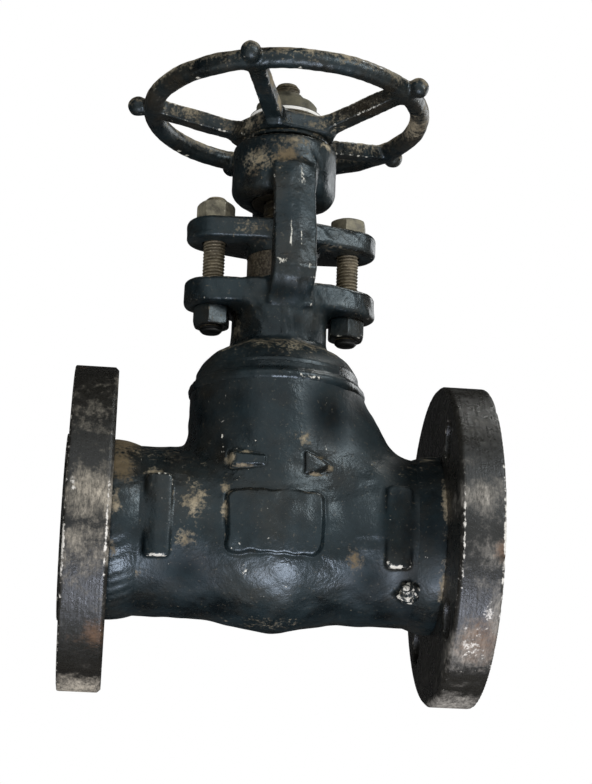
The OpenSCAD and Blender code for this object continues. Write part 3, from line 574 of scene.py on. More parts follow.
def weld_field(x, y, z, rough):
    """The bead at the inlet: highest against the flange, with the slow waves of a hand-laid run."""
    angle = np.arctan2(z, y)
    t = np.clip((x - FLANGE_BACK) / BEAD_LONG, 0, 1)
    wave = 0.22 * np.sin(9 * angle + 1.3) * np.sin(5 * angle)
    wave = wave + 0.10 * rough * np.sin(46 * angle + 2.5 * np.sin(3 * angle) + 0.5 * x)
    top = BARREL_R + (BEAD_RISE + wave) * (1 - t * t) - 0.25
    r = np.hypot(y, z)
    ends = np.maximum(FLANGE_BACK - 0.3 - x, x - FLANGE_BACK - BEAD_LONG)
    return np.maximum(np.maximum(r - top, BARREL_R - 1.2 - r), ends)


inlet_weld = cast("inlet_flange_bead", lambda x, y, z: weld_field(x, y, z, 1.0),
                  (17, -38, -38), (32, 38, 38), 0.7)
outlet_weld = cast("outlet_flange_bead", lambda x, y, z: weld_field(LENGTH - x, -y, z, 0.3),
                   (LENGTH - 32, -38, -38), (LENGTH - 17, 38, 38), 0.7)
for piece, node in ((inlet_weld, "inlet_flange_weld"), (outlet_weld, "outlet_flange_weld")):
    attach(piece, "valve")
    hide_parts(node)
finish(inlet_weld, black_paint(
    "brushed_black_paint_inlet_bead", 0.8, 0.14,
    dust_and_painted_light=[((20, -34, 4), (4, 12, 10), 0.95), ((20, -33, -14), (3, 10, 8), 0.7)],
    rusty=[((22, -14, 31), (12, 26, 16), 1.3), ((21, -29, 19), (10, 14, 14), 1.3)]))
finish(outlet_weld, black_paint(
    "brushed_black_paint_outlet_bead", 0.6, 0.14,
    dust_and_painted_light=[((146, -33, 10), (3, 14, 22), 0.95), ((146, -28, -20), (3, 16, 16), 0.8)],
    rusty=[((142, -26, 25), (7, 12, 9), 0.5)],
    dead=[((140, -28, 5), (14, 26, 34), 1.0)]))

# Seat ring, disc and disc nut: turned stainless steel inside the chamber, hidden from outside.
# The ring sits in the body's pocket; the nut holds the stem's collar in the disc, free to turn.


def turned_steel(name, colour, metallic, rough, greasy_from=999.0):
    """Bare steel from the lathe: fine rings about the axis, a little stained; greasy above a height in mm."""
    made, tree, place = blank(name)
    # Tool marks up the axis, drawn 0.4 mm apart: the real 0.1 mm wouldn't show; stains about 6 mm across
    ringed = add(tree, "Mapping", "Vector", {"Vector": place, "Scale": (0.05, 0.05, 1.0)})
    rings = add(tree, "TexNoise", "Fac", {"Vector": ringed, "Scale": 1000 / 0.4, "Detail": 2.0})
    stain = add(tree, "TexNoise", "Fac",
                {"Vector": place, "Scale": 1000 / 6, "Detail": 5.0, "Roughness": 0.65})
    blend = add(tree, "MapRange", "Result",
                {"Value": stain, "From Min": 0.5, "From Max": 0.8, "To Max": 0.7})
    final = add(tree, "Mix", "Result", {"Factor": blend, "A": tone(colour), "B": tone("#8f897b")},
                data_type="RGBA")
    high = add(tree, "SeparateXYZ", "Z", {"Vector": place})
    low = greasy_from / 1000
    grease = add(tree, "MapRange", "Result", {"Value": high, "From Min": low, "From Max": low + 0.0003})
    final = add(tree, "Mix", "Result", {"Factor": grease, "A": final, "B": tone("#2f2e25")},
                data_type="RGBA")
    shine = add(tree, "MapRange", "Result",
                {"Value": stain, "From Min": 0.3, "From Max": 0.7, "To Min": rough, "To Max": rough + 0.2})
    relief = add(tree, "Bump", "Normal", {"Height": rings, "Distance": 0.0001, "Strength": 0.4})
    surface(tree, {"Base Color": final, "Roughness": shine, "Metallic": metallic, "Normal": relief})
    return made


stainless = turned_steel("turned_stainless_steel", "#c9c9c6", 1.0, 0.28)
for node in ("seat_ring", "disc", "disc_nut"):
    finish(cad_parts[node], stainless)

# Bonnet: a second forging, welded on the chamber's rim, with a domed shoulder, a neck for the packing,
# two ears for the gland bolts and two arms that carry the yoke hub. It stands turned 7 degrees on the body.
TURN = math.radians(7)
SPAN = 28.1
NECK_R, SKIRT_R, SKIRT_TOP, SPIGOT_Z = 19.5, 32.55, 65.0, 48.8
DOME_AT, DOME_Z, DOME_R = 15.94, 58.05, 18.0
EAR_Z, EAR_TOP, EAR_R = 92.5, 103.0, 11.5
ARM_HALF_WIDTH, ARM_BACK = 8.75, 20.0
PACKING_R, PACKING_Z, BUSH_R, STEM_HOLE_R, BOLT_CLEAR_R = 14.0, 81.0, 13.0, 8.2, 5.0
HUB_Z, HUB_TOP, HUB_R = span("yoke_bush")[0][2], span("yoke_bush")[1][2], 21.5


def turned(x, y):
    """Coordinates in the bonnet's own turned frame, about the stem."""
    u = x - STEM_X
    return u * math.cos(TURN) + y * math.sin(TURN), y * math.cos(TURN) - u * math.sin(TURN)


def lug_outline(a, b, middle, end):
    """Distance to the flat outline of a round middle and two round lugs, joined by tangent lines."""
    a, b = np.abs(a), np.abs(b)
    lean = (middle - end) / SPAN
    tall = math.sqrt(1 - lean * lean)
    along = a * tall - b * lean
    straight = b * tall + a * lean - middle
    outward = np.where(along > tall * SPAN, np.hypot(a - SPAN, b) - end, straight)
    return np.where(along < 0, np.hypot(a, b) - middle, outward)


def bonnet_field(x, y, z):
    """Spigot, skirt, dome, neck, ears, arms and hub in one piece, bored for packing, bush and bolts."""
    a, b = turned(x, y)
    r = np.hypot(a, b)
    spigot = np.maximum(r - CHAMBER_BORE_R, np.maximum(SPIGOT_Z - z, z - 60))
    skirt = np.maximum(meet(r - SKIRT_R, z - SKIRT_TOP, 0.6), CHAMBER_TOP - z)
    dome = np.hypot(r - DOME_AT, z - DOME_Z) - DOME_R
    dome = np.maximum(dome, np.maximum(r - SKIRT_R, CHAMBER_TOP - z))
    neck = np.maximum(r - NECK_R, np.maximum(60 - z, z - 100))
    foot = melt(melt(skirt, dome, 0.8), neck, 4.0)
    ear_side = np.abs(z - (EAR_Z + EAR_TOP) / 2) - (EAR_TOP - EAR_Z) / 2
    ears = meet(lug_outline(a, b, NECK_R, EAR_R), ear_side, 2.0)
    arm_side = [(-15.5, EAR_Z - 1), (-NECK_R, EAR_Z - 1), (-28, EAR_Z + 7.5), (-30, EAR_Z + 11.5),
                (-HUB_R - 1, HUB_Z + 11), (-17.25, HUB_Z + 15), (-17.25, HUB_Z + 6),
                (-ARM_BACK, HUB_Z - 4), (-ARM_BACK, EAR_TOP), (-15.5, EAR_TOP)]
    # The arm's front is three shallow facets, the middle one narrow
    facet = 0.24 * np.maximum(np.abs(a + 0.6) - 2.2, 0)
    arm = meet(polygon_outline(-np.abs(b), z, arm_side) + facet * (np.abs(b) > ARM_BACK),
               np.abs(a) - ARM_HALF_WIDTH, 0.8)
    hub = meet(meet(r - HUB_R, HUB_Z - z, 6.0), z - HUB_TOP, 1.3)
    # The dies' flash line runs up the front of the neck as a low flat rib
    rib = np.maximum(meet(r - NECK_R - 0.25, np.abs(a + 0.5) - 2.4, 0.2), np.maximum(76 - z, z - 94))
    whole = melt(melt(melt(melt(foot, rib, 0.7), ears, 4.5), arm, 2.0), hub, 2.0)
    free = np.clip((z - 66) / 5, 0, 1) * np.clip((HUB_TOP - 2 - z) / 4, 0, 1)
    whole = whole - free * (uneven(x, y, z, 13, 0.22, 11) + uneven(x, y, z, 5, 0.08, 12))
    whole = np.minimum(whole, spigot)
    packing = np.maximum(r - PACKING_R, PACKING_Z - z)
    bush = np.maximum(r - BUSH_R, 120 - z)
    bolts = np.maximum(np.hypot(np.abs(a) - SPAN, b) - BOLT_CLEAR_R, np.abs(z - 98) - 12)
    whole = carve(carve(whole, np.maximum(packing, z - 115), 0.6), bush, 0.8)
    return np.maximum(np.maximum(whole, -bolts), STEM_HOLE_R - r)


bonnet = cast("bonnet_and_yoke", bonnet_field, (STEM_X - 42, -42, 47), (STEM_X + 42, 42, 166), 0.75)
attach(bonnet, "valve")
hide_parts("bonnet")
finish(bonnet, black_paint(
    "brushed_black_paint_bonnet", 0.9, 0.3, drawn=0.4,
    dust_and_painted_light=[((STEM_X + 2, -21, 161), (14, 8, 5), 0.8), ((STEM_X + 16, -15, 162), (9, 10, 3), 0.95),
           ((STEM_X - 12, -18, 154), (22, 14, 14), 0.7), ((STEM_X - 19, -10, 82), (7, 14, 8), 0.75),
           ((STEM_X + 20, -6, 84), (6, 14, 9), 0.6), ((STEM_X, -24, 71), (40, 14, 7), 0.6)],
    # The last two fleck patches, at the arm's knuckle, paint its highlight in bare-steel flecks; the others
    # are chips along the arm's front.
    pale_flecks=[((STEM_X + 1.2, -27, 121), (0.8, 8, 17), 0.6), ((STEM_X + 5.5, -27, 118), (0.7, 8, 8), 0.55),
             ((STEM_X + 4.5, -23, 142), (3.0, 8, 9), 0.45), ((STEM_X - 2, -30, 106), (2.4, 6, 2.6), 0.55),
             ((STEM_X + 8, -29, 105), (2.4, 6, 2.2), 0.55)],
    rusty=[((STEM_X - 2, -21, 154), (15, 10, 8), 0.95), ((STEM_X - 14, -18, 148), (10, 10, 8), 0.7)],
    dead=[((STEM_X, -24, 71), (40, 20, 7), 1.3), ((STEM_X - 2, -23, 95), (13, 7, 6), 1.2),
          ((STEM_X + 6, -20, 84), (7, 9, 11), 0.7)]))

# Bonnet weld: a rounded bead between the chamber's rim and the bonnet's skirt, laid in two passes.
# Bare-steel flecks along the front of its crown paint the highlight that shines there.
ROLL_R, BEAD_TOP = 2.6, 64.2


def bonnet_weld_field(x, y, z):
    """The bead about the stem: a round roll on the chamber's edge, a flat above it and a toe on the skirt."""
    u = x - STEM_X
    angle, r = np.arctan2(y, u), np.hypot(u, y)
    wave = 0.12 * np.sin(7 * angle + 1) + 0.06 * np.sin(31 * angle + 3 * np.sin(4 * angle))
    roll = np.hypot(r - CHAMBER_R + 1.7, z - CHAMBER_TOP - 0.4) - ROLL_R - wave
    flat = (r - CHAMBER_R + 0.9 + 0.30 * (z - CHAMBER_TOP - 2.5)) / 1.04 - 0.5 * wave
    bead = melt(roll, np.maximum(flat, CHAMBER_TOP - z), 0.7)
    inner = np.maximum(SKIRT_R - 1 - r, CHAMBER_TOP - 2.4 - z)
    return np.maximum(meet(bead, z - BEAD_TOP - 2 * wave, 0.5), inner)


bonnet_weld = cast("bonnet_bead", bonnet_weld_field, (STEM_X - 38, -38, 54), (STEM_X + 38, 38, 66), 0.6)
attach(bonnet_weld, "valve")
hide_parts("bonnet_weld")
finish(bonnet_weld, black_paint(
    "brushed_black_paint_bonnet_bead", 0.5, 0.12,
    dust_and_painted_light=[((STEM_X + 26, -22, 64), (12, 12, 2), 0.8)],
    # This fleck patch along the front of the crown paints its highlight in bare-steel flecks.
    pale_flecks=[((STEM_X + 11, -35, 57.3), (11, 7, 1.5), 0.55)]))

# Packing, gland follower and yoke bush: rings round the stem. The packing is braided graphite, out of sight;
# the follower is a plain steel sleeve gone brown, and the bush is bronze-coloured and greasy.


def brown_steel(name, dark, light, bright, wear):
    """Unpainted mild steel under old rust and grease: brown, dull, pitted, and bright where it is rubbed."""
    made, tree, place = blank(name)
    # Stains about 5 mm across, and pits drawn 0.9 mm wide: the real 0.2 mm wouldn't show
    cloud = add(tree, "TexNoise", "Fac",
                {"Vector": place, "Scale": 1000 / 5, "Detail": 6.0, "Roughness": 0.65})
    pits = add(tree, "TexNoise", "Fac",
               {"Vector": place, "Scale": 1000 / 0.9, "Detail": 4.0, "Roughness": 0.7})
    spread = add(tree, "MapRange", "Result", {"Value": cloud, "From Min": 0.32, "From Max": 0.68})
    rust = add(tree, "Mix", "Result", {"Factor": spread, "A": tone(dark), "B": tone(light)},
               data_type="RGBA")
    edge = add(tree, "NewGeometry", "Pointiness", {})
    proud = add(tree, "MapRange", "Result",
                {"Value": edge, "From Min": 0.51, "From Max": 0.60, "To Max": wear})
    keen = add(tree, "Math", "Value", {0: pits, 1: proud}, operation="ADD")
    bare = add(tree, "MapRange", "Result", {"Value": keen, "From Min": 0.64, "From Max": 0.86})
    final = add(tree, "Mix", "Result", {"Factor": bare, "A": rust, "B": tone(bright)}, data_type="RGBA")
    shine = add(tree, "MapRange", "Result",
                {"Value": cloud, "From Min": 0.3, "From Max": 0.7, "To Min": 0.42, "To Max": 0.72})
    relief = add(tree, "Bump", "Normal", {"Height": pits, "Distance": 0.0002, "Strength": 0.6})
    surface(tree, {"Base Color": final, "Roughness": shine, "Metallic": 0.3, "Normal": relief})
    return made


finish(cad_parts["gland_follower"],
       brown_steel("greasy_brown_steel", "#17130d", "#4a3f2f", "#6b6353", 0.2))
finish(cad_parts["yoke_bush"], brown_steel("greasy_black_bronze", "#100e0b", "#241f17", "#4a4436", 0.2))
finish(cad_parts["packing"], brown_steel("braided_graphite", "#141414", "#2a2a2b", "#3c3c3d", 0.1))

# Gland flange: an oval forged bar with a tapered boss, which two bolts pull down on the packing.
# It carries the same black paint, rubbed at its rounded edges.
GLAND_Z, GLAND_TOP, GLAND_R = 120.0, span("gland_flange")[1][2], 17.0
GLAND_MIDDLE = (GLAND_Z + GLAND_TOP) / 2
BOSS_Z, BOSS_R, GLAND_BORE_R = 116.0, 14.0, 8.7


def gland_field(x, y, z):
    """The bar and its boss, bored for the stem and the two bolts."""
    a, b = turned(x, y)
    r = np.hypot(a, b)
    bar_side = np.abs(z - GLAND_MIDDLE) - (GLAND_TOP - GLAND_Z) / 2
    bar = meet(lug_outline(a, b, GLAND_R, EAR_R), bar_side, 1.8)
    boss = np.maximum(r - BOSS_R - 0.6 * (z - BOSS_Z), np.maximum(BOSS_Z - z, z - GLAND_Z - 1))
    # The swells die out where the nuts sit on it
    seat = np.clip(np.abs(z - GLAND_MIDDLE) - 2, 0, 1)
    both = melt(bar, boss, 1.5) - (1 - seat) * (uneven(x, y, z, 11, 0.25, 21) + uneven(x, y, z, 4, 0.07, 22))
    holes = np.hypot(np.abs(a) - SPAN, b) - BOLT_CLEAR_R
    return np.maximum(carve(both, r - GLAND_BORE_R, 0.5), -holes)


gland = cast("gland_flange_bar", gland_field, (STEM_X - 42, -22, 114), (STEM_X + 42, 22, 131), 0.55)
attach(gland, "valve")
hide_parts("gland_flange")
finish(gland, black_paint(
    "brushed_black_paint_gland", 0.8, 0.2,
    dust_and_painted_light=[((STEM_X - 12, -15, 124), (16, 8, 6), 0.7), ((STEM_X + 20, -10, 119), (10, 10, 3), 0.8)],
    rusty=[((STEM_X - 12, -15, 119), (12, 8, 4), 0.6)]))

# Gland bolts: a stud with a nut at each end on the left, and a headed bolt with one nut on the right.
# Their threads are brown; the lower nuts and bolt ends were painted with the body, the upper ones are bare.
NUT_FLATS, NUT_CORNER_R = 13.7, 7.0
PITCH, THREAD_DEEP, TIP = 1.4, 0.75, 0.8


def threaded(name, x, y, parts, around):
    """Turned rod about an upright axis; each part is bottom, top, radius at both, thread pitch and depth."""
    rows = []
    for z0, z1, r0, r1, pitch, depth in parts:
        n = max(2, round((z1 - z0) / pitch * 9)) if pitch else 2
        for i in range(n):
            rows.append((z0 + (z1 - z0) * i / (n - 1), r0 + (r1 - r0) * i / (n - 1), pitch, depth))
    share = np.arange(around) / around
    points, faces = [], []
    for z, r, pitch, depth in rows:
        cut = 0 * share
        if pitch:
            cut = depth * np.clip(1.25 - np.abs(2 * ((z / pitch - share) % 1) - 1) * 1.5, 0, 1)
        for s, c in zip(share, cut):
            angle = 2 * math.pi * s
            points.append((x + (r - c) * math.cos(angle), y + (r - c) * math.sin(angle), z))
    for i in range(len(rows) - 1):
        for k in range(around):
            here, there = i * around + k, i * around + (k + 1) % around
            faces.append((here, there, there + around, here + around))
    points += [(x, y, rows[0][0]), (x, y, rows[-1][0])]
    first, last = len(points) - 2, (len(rows) - 1) * around
    faces += [(first, (k + 1) % around, k) for k in range(around)]
    faces += [(first + 1, last + k, last + (k + 1) % around) for k in range(around)]
    return put(name, points, faces)


def hexagon(a, b, flats, turn):
    """Distance to a hexagon of that width across its flats, its first corner turned from the first axis."""
    sides = [math.radians(turn + 30 + 60 * i) for i in range(3)]
    return np.maximum.reduce([np.abs(a * math.cos(s) + b * math.sin(s)) for s in sides]) - flats / 2


def nut_field(x, y, z, side, foot, tall, turn, bore):
    """A hexagon with its corners turned off at both faces, on the gland bolt on that side."""
    a, b = turned(x, y)
    a = a - side * SPAN
    r, h = np.hypot(a, b), np.abs(z - foot - tall / 2) - tall / 2
    six = meet(hexagon(a, b, NUT_FLATS, turn), h, 0.35)
    six = -melt(-six, -(r - NUT_CORNER_R + h) / math.sqrt(2), 0.5)
    return np.maximum(six, bore - r)


rusty_thread = brown_steel("rusty_thread_steel", "#3a3428", "#857b66", "#a8a08a", 0.3)
worn_nut = brown_steel("rubbed_nut_steel", "#2e2b23", "#8f8a76", "#cfcbbd", 0.34)
# Its dust patch across the front of both lower nuts lightens their facets: dust, and partly a painted
# reflection of bright light on them.
painted_nut = black_paint("brushed_black_paint_nuts", 0.9, 0.3, dust_and_painted_light=[((STEM_X, -12, 88), (60, 9, 7), 0.6)])
painted_thread = brown_steel("black_painted_thread", "#0b0d0d", "#1b1d1c", "#2c2d2a", 0.1)
NUT_Z, NUT_TALL, HEAD_TALL = span("gland_bolt_nut")[0][2], 8.2, 6.8
BOLT_R, BOLT_END = 4.5, span("gland_bolt")[0][2]
STUD_TOP = span("gland_stud")[1][2]
left_bolt = (STEM_X - SPAN * math.cos(TURN), -SPAN * math.sin(TURN))
right_bolt = (STEM_X + SPAN * math.cos(TURN), SPAN * math.sin(TURN))
foot_tip = (BOLT_END, BOLT_END + TIP, BOLT_R - TIP, BOLT_R, 0, 0)
stud = threaded("gland_stud_thread", *left_bolt, [
    foot_tip, (BOLT_END + TIP, STUD_TOP - TIP, BOLT_R, BOLT_R, PITCH, THREAD_DEEP),
    (STUD_TOP - TIP, STUD_TOP, BOLT_R, BOLT_R - TIP, 0, 0)], 32)
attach(stud, "valve")
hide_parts("gland_stud")
shank = threaded("gland_bolt_thread", *right_bolt, [
    foot_tip, (BOLT_END + TIP, GLAND_TOP + 0.5, BOLT_R, BOLT_R, PITCH, THREAD_DEEP)], 32)
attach(shank, "valve")
for rod in (stud, shank):
    finish(rod, rusty_thread, painted_thread)
    for face in rod.data.polygons:
        face.material_index = int(face.center.z * 1000 < NUT_Z)
for name, node, side, foot, tall, turn, bore, coat, slot in (
        ("gland_bolt_head", "gland_bolt", 1, GLAND_TOP, HEAD_TALL, 10, -1, worn_nut, "rusty_steel"),
        ("gland_stud_upper_nut", "gland_stud_top_nut", -1, GLAND_TOP, NUT_TALL, -12, 4.3, worn_nut,
         "rusty_steel"),
        ("gland_stud_lower_nut", "gland_stud_bottom_nut", -1, NUT_Z, NUT_TALL, 12, 4.3, painted_nut,
         "black_paint"),
        ("gland_bolt_lower_nut", "gland_bolt_nut", 1, NUT_Z, NUT_TALL, 24, 4.3, painted_nut, "black_paint")):
    cx, cy = left_bolt if side < 0 else right_bolt
    piece = cast(name, lambda x, y, z: nut_field(x, y, z, side, foot, tall, turn, bore),
                 (cx - 9, cy - 9, foot - 1), (cx + 9, cy + 9, foot + tall + 1), 0.35)
    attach(piece, "valve")
    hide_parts(node)
    finish(piece, coat)

# Stem: a steel rod with a collar that turns in the disc, a square-cut thread that climbs in the yoke bush,
# and a thinner threaded end for the handwheel nut. What shows is brown and greasy.
STEM_R, COLLAR_R, END_R = 8.0, 10.0, 5.4
THREAD_Z, STEM_PITCH, STEM_THREAD_DEEP, END_PITCH, END_THREAD_DEEP = 127.0, 3.0, 1.3, 1.5, 0.5
STEM_Z, STEM_TOP = span("stem")[0][2], span("stem")[1][2]
COLLAR_TOP = STEM_Z + 3.6
WHEEL_Z = span("handwheel")[0][2]
NUT_TOP = span("handwheel_nut")[1][2]
stem = threaded("valve_stem", STEM_X, 0, [
    (STEM_Z, COLLAR_TOP, COLLAR_R, COLLAR_R, 0, 0), (COLLAR_TOP, COLLAR_TOP, COLLAR_R, STEM_R, 0, 0),
    (COLLAR_TOP, THREAD_Z, STEM_R, STEM_R, 0, 0),
    (THREAD_Z, WHEEL_Z - 0.5, STEM_R, STEM_R, STEM_PITCH, STEM_THREAD_DEEP),
    (WHEEL_Z - 0.5, WHEEL_Z, STEM_R, END_R, 0, 0), (WHEEL_Z, NUT_TOP - 1.5, END_R, END_R, 0, 0),
    (NUT_TOP - 1.5, STEM_TOP - 2.5, END_R, END_R, END_PITCH, END_THREAD_DEEP),
    (STEM_TOP - 2.5, STEM_TOP - 0.8, END_R, 4.2, 0, 0),
    (STEM_TOP - 0.8, STEM_TOP, 4.2, 2.4, 0, 0)], 48)
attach(stem, "spindle")
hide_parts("stem")
finish(stem, brown_steel("greasy_brown_stem", "#1d1912", "#4f4733", "#6b6450", 0.2))

# Handwheel: one iron casting, five rectangular spokes from a five-sided hub to a round rim, with a ball
# knob past each. The rim's top is rusty where hands and weather have worn the paint, and its underside
# is still black.
RIM_Z, RIM_R, RIM_THICK = 180.6, 56.0, 4.1
SPOKE_TURN = math.radians(35.4)
SPOKE_ROOT, SPOKE_LONG, SPOKE_HALF_WIDTH, SPOKE_HALF_HEIGHT = 15.0, 42.0, 3.5, 3.1
KNOB_R, KNOB_OUT, STALK_R = 4.1, 6.5, 3.0
WHEEL_HUB_R, WHEEL_HUB_FLAT, WHEEL_COLLAR_R, WHEEL_BOSS_R = 22.5, 19.6, 18.0, 14.6
FIFTH = 2 * math.pi / 5


def wheel_field(x, y, z):
    """Hub, collar, boss, rim, spokes and knobs, run together as cast."""
    u = x - STEM_X
    r = np.hypot(u, y)
    angle = (np.arctan2(y, u) - SPOKE_TURN + FIFTH / 2) % FIFTH - FIFTH / 2
    out, side = r * np.cos(angle), r * np.sin(angle)
    flat = out * math.cos(FIFTH / 2) + np.abs(side) * math.sin(FIFTH / 2) - WHEEL_HUB_FLAT
    hub = meet(np.maximum(r - WHEEL_HUB_R, flat), np.abs(z - WHEEL_Z - 5.2) - 3.8, 1.5)
    collar = meet(r - WHEEL_COLLAR_R, np.abs(z - WHEEL_Z - 3) - 3, 0.5)
    boss = meet(r - WHEEL_BOSS_R, np.abs(z - WHEEL_Z - 7) - 4.6, 0.6)
    core = np.minimum(melt(hub, boss, 1.0), collar)
    rim = np.hypot(r - RIM_R, z - RIM_Z) - RIM_THICK
    tilt = math.atan2(RIM_Z - WHEEL_Z - 5, RIM_R - SPOKE_ROOT)
    along = (out - SPOKE_ROOT) * math.cos(tilt) + (z - WHEEL_Z - 5) * math.sin(tilt)
    rise = (z - WHEEL_Z - 5) * math.cos(tilt) - (out - SPOKE_ROOT) * math.sin(tilt)
    bar = box_outline(side, rise, SPOKE_HALF_WIDTH, SPOKE_HALF_HEIGHT, 0.5)
    bar = np.maximum(bar, np.maximum(-along, along - SPOKE_LONG))
    whole = melt(np.minimum(core, rim), bar, 2.4)
    stalk = np.maximum(np.hypot(side, z - RIM_Z) - STALK_R, np.maximum(RIM_R - out, out - RIM_R - KNOB_OUT))
    knob = np.sqrt((out - RIM_R - KNOB_OUT) ** 2 + side ** 2 + (z - RIM_Z) ** 2) - KNOB_R
    whole = melt(melt(whole, stalk, 1.5), knob, 1.2)
    free = np.clip((r - 20) / 6, 0, 1)
    whole = whole - free * (uneven(x, y, z, 14, 0.10, 31) + uneven(x, y, z, 5, 0.06, 32))
    return np.maximum(whole, END_R - r)


wheel = cast("handwheel_casting", wheel_field, (STEM_X - 69, -69, 164), (STEM_X + 69, 69, 187), 0.7)
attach(wheel, "spindle")
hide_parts("handwheel")
finish(wheel, black_paint(
    "brushed_black_paint_wheel", 1.1, 0.34, settles=-1.2,
    # The dust patches at STEM_X - 5.2 and STEM_X - 10 lighten the near spoke's right side: dust, and partly
    # painted light falling on that side.
    dust_and_painted_light=[((STEM_X + 8, -19, 175), (14, 8, 3), 0.8), ((STEM_X - 5.2, -27, 174.5), (4, 9, 5), 1.4),
           ((STEM_X - 10, -41, 178), (4, 9, 5), 1.4), ((STEM_X - 18, -12, 171), (8, 9, 5), 0.9),
           ((STEM_X + 55, -8, 180), (10, 30, 9), 1.1), ((STEM_X + 19, -10, 172), (8, 14, 5), 0.8)],
    rusty=[((STEM_X - 15, -15, 170), (8, 8, 6), 0.7), ((STEM_X - 10, -56, 184.5), (40, 14, 3), 1.0),
           ((STEM_X - 48, 20, 184), (30, 40, 4), 0.9), ((STEM_X + 40, 36, 184), (30, 34, 4), 0.8)]))

# Handwheel washer and nut: a bright plated washer and a conical steel nut clamp the wheel on the stem.
# The nut's round foot has six spanner flats. Old grease has run over the nut and down on the washer.
CONE_FOOT_R, CONE_FLATS, CONE_RISE, CONE_DRAFT = 13.0, 24.4, 5.2, 6.6
CONE_FOOT = span("handwheel_nut")[0][2]
WASHER_CLEAN = 1.1


def cone_nut_field(x, y, z):
    """The nut about the stem, its cone a little hollow."""
    u = x - STEM_X
    r = np.hypot(u, y)
    high = np.abs(z - (CONE_FOOT + NUT_TOP) / 2) - (NUT_TOP - CONE_FOOT) / 2
    six = meet(np.maximum(hexagon(u, y, CONE_FLATS, 0), r - CONE_FOOT_R), high, 0.4)
    rise = np.clip((z - CONE_FOOT - CONE_RISE) / (NUT_TOP - CONE_FOOT - CONE_RISE), 0, 1)
    cone = (r - CONE_FOOT_R + CONE_DRAFT * (1 - (1 - rise) ** 1.5)) / 1.6
    return np.maximum(-melt(-six, -cone, 0.8), END_R - 0.1 - r)


plated = turned_steel("bright_plated_steel", "#f2f2ee", 0.0, 0.4,
                      span("handwheel_washer")[0][2] + WASHER_CLEAN)
finish(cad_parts["handwheel_washer"], plated)
cone_nut = cast("handwheel_cone_nut", cone_nut_field, (STEM_X - 15, -15, 178), (STEM_X + 15, 15, 191), 0.45)
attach(cone_nut, "spindle")
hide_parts("handwheel_nut")
finish(cone_nut, brown_steel("dark_olive_nut_steel", "#2a2a21", "#66624f", "#8b8773", 0.25))

# Studio: a pale floor well below the valve, white surroundings, four soft lamps and five dark cards.
# The cards stand round the back half, as a photographer sets them, so that glossy black paint keeps its
# dark edges. Reflections alone see them.
FLOOR_Z, FLOOR_REACH = -1.0, 80
CARD = "#262626"


def board(name, corners, colour):
    """A flat board of the set, from its four corners in metres."""
    mesh = bpy.data.meshes.new(name)
    mesh.from_pydata(corners, [], [(0, 1, 2, 3)])
    made = bpy.data.objects.new(name, mesh)
    bpy.context.scene.collection.objects.link(made)
    matt = bpy.data.materials.new(name)
    matt.use_nodes = True
    matt.node_tree.nodes["Principled BSDF"].inputs["Base Color"].default_value = tone(colour)
    matt.node_tree.nodes["Principled BSDF"].inputs["Roughness"].default_value = 0.95
    finish(made, matt)
    return made


board("floor", [(-FLOOR_REACH, -FLOOR_REACH, FLOOR_Z), (FLOOR_REACH, -FLOOR_REACH, FLOOR_Z),
                (FLOOR_REACH, FLOOR_REACH, FLOOR_Z), (-FLOOR_REACH, FLOOR_REACH, FLOOR_Z)], "#e9e9e7")
cards = (
    board("left_card", [(-0.7, -0.8, -0.5), (-0.7, 1.0, -0.5), (-0.7, 1.0, 1.2), (-0.7, -0.8, 1.2)], CARD),
    board("right_card", [(1.0, -0.3, -0.5), (1.0, 1.0, -0.5), (1.0, 1.0, 1.2), (1.0, -0.3, 1.2)], CARD),
    board("top_card", [(-0.9, -0.6, 0.9), (1.2, -0.6, 0.9), (1.2, 1.2, 0.9), (-0.9, 1.2, 0.9)], CARD),
    board("back_card", [(-1.0, 0.9, -0.6), (1.3, 0.9, -0.6), (1.3, 0.9, 1.2), (-1.0, 0.9, 1.2)], CARD),
    board("low_card", [(-0.8, 0.05, -0.6), (1.0, 0.05, -0.6), (1.0, 1.0, -0.6), (-0.8, 1.0, -0.6)], CARD))
for card in cards:
    card.visible_camera = card.visible_shadow = False
    card.visible_transmission = card.visible_diffuse = False

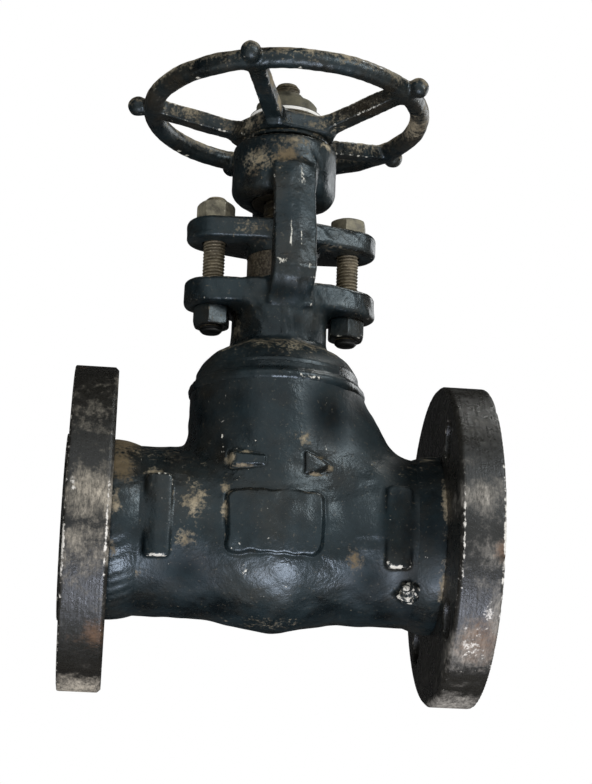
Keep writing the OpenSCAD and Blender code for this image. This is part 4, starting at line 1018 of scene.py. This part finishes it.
world = bpy.data.worlds.new("studio")
bpy.context.scene.world = world
world.use_nodes = True
sky = world.node_tree
sky.nodes.clear()
path = add(sky, "LightPath", None, {})
seen = add(sky, "Math", "Value", {0: path.outputs["Is Camera Ray"], 1: path.outputs["Is Glossy Ray"]},
           operation="MAXIMUM")
seen = add(sky, "Math", "Value", {0: seen, 1: path.outputs["Is Transmission Ray"]}, operation="MAXIMUM")
lit = add(sky, "Background", "Background", {"Color": tone("#ffffff"), "Strength": 0.9})
white = add(sky, "Background", "Background", {"Color": tone("#ffffff"), "Strength": 1.0})
both = add(sky, "MixShader", "Shader", {0: seen, 1: lit, 2: white})
add(sky, "OutputWorld", None, {"Surface": both})


def soft_lamp(name, spot, aim, width, power, colour):
    """Square soft lamp at a spot, turned to the point that it lights; the camera doesn't see it."""
    lamp = bpy.data.lights.new(name, "AREA")
    lamp.size, lamp.energy, lamp.color = width, power, tone(colour)[:3]
    made = bpy.data.objects.new(name, lamp)
    bpy.context.scene.collection.objects.link(made)
    made.location = spot
    made.rotation_euler = (Vector(aim) - Vector(spot)).to_track_quat("-Z", "Y").to_euler()
    made.visible_camera = False


MIDDLE = (STEM_X / 1000, 0, 0.03)
soft_lamp("low_front_lamp", (0.125, -0.25, -0.33), MIDDLE, 0.11, 1.5, "#f3f1ff")
soft_lamp("right_front_lamp", (0.484, -0.44, 0.315), (STEM_X / 1000, 0, 0.13), 0.2, 1.6, "#ffffff")
soft_lamp("overhead_lamp", (0.47, 0.12, 0.76), MIDDLE, 0.14, 1.3, "#fffdf8")
soft_lamp("right_back_lamp", (0.78, 0.5, 0.3), MIDDLE, 0.5, 2.5, "#ffffff")

# Camera: as the photographer stood, low in front and a little to the left, looking up the stem.
# Its place, angles and lens were fitted to the two flange rims and the wheel's rim.
yaw, pitch, roll = math.radians(5.5645), math.radians(15.9354), math.radians(1.8796)
ahead = Vector((math.sin(yaw) * math.cos(pitch), math.cos(yaw) * math.cos(pitch), math.sin(pitch)))
right = Vector((math.cos(yaw), -math.sin(yaw), 0))
above = right.cross(ahead)
right, above = (right * math.cos(roll) + above * math.sin(roll),
                above * math.cos(roll) - right * math.sin(roll))
lens = bpy.data.cameras.new("camera")
lens.lens, lens.sensor_width = 87.72, 36.0
lens.clip_start, lens.clip_end = 0.05, 200
camera = bpy.data.objects.new("camera", lens)
bpy.context.scene.collection.objects.link(camera)
stand = Matrix.Translation((0.01807, -0.73937, -0.15173))
camera.matrix_world = stand @ Matrix((right, above, -ahead)).transposed().to_4x4()
bpy.context.scene.camera = camera
bpy.context.scene.view_settings.view_transform = "Standard"
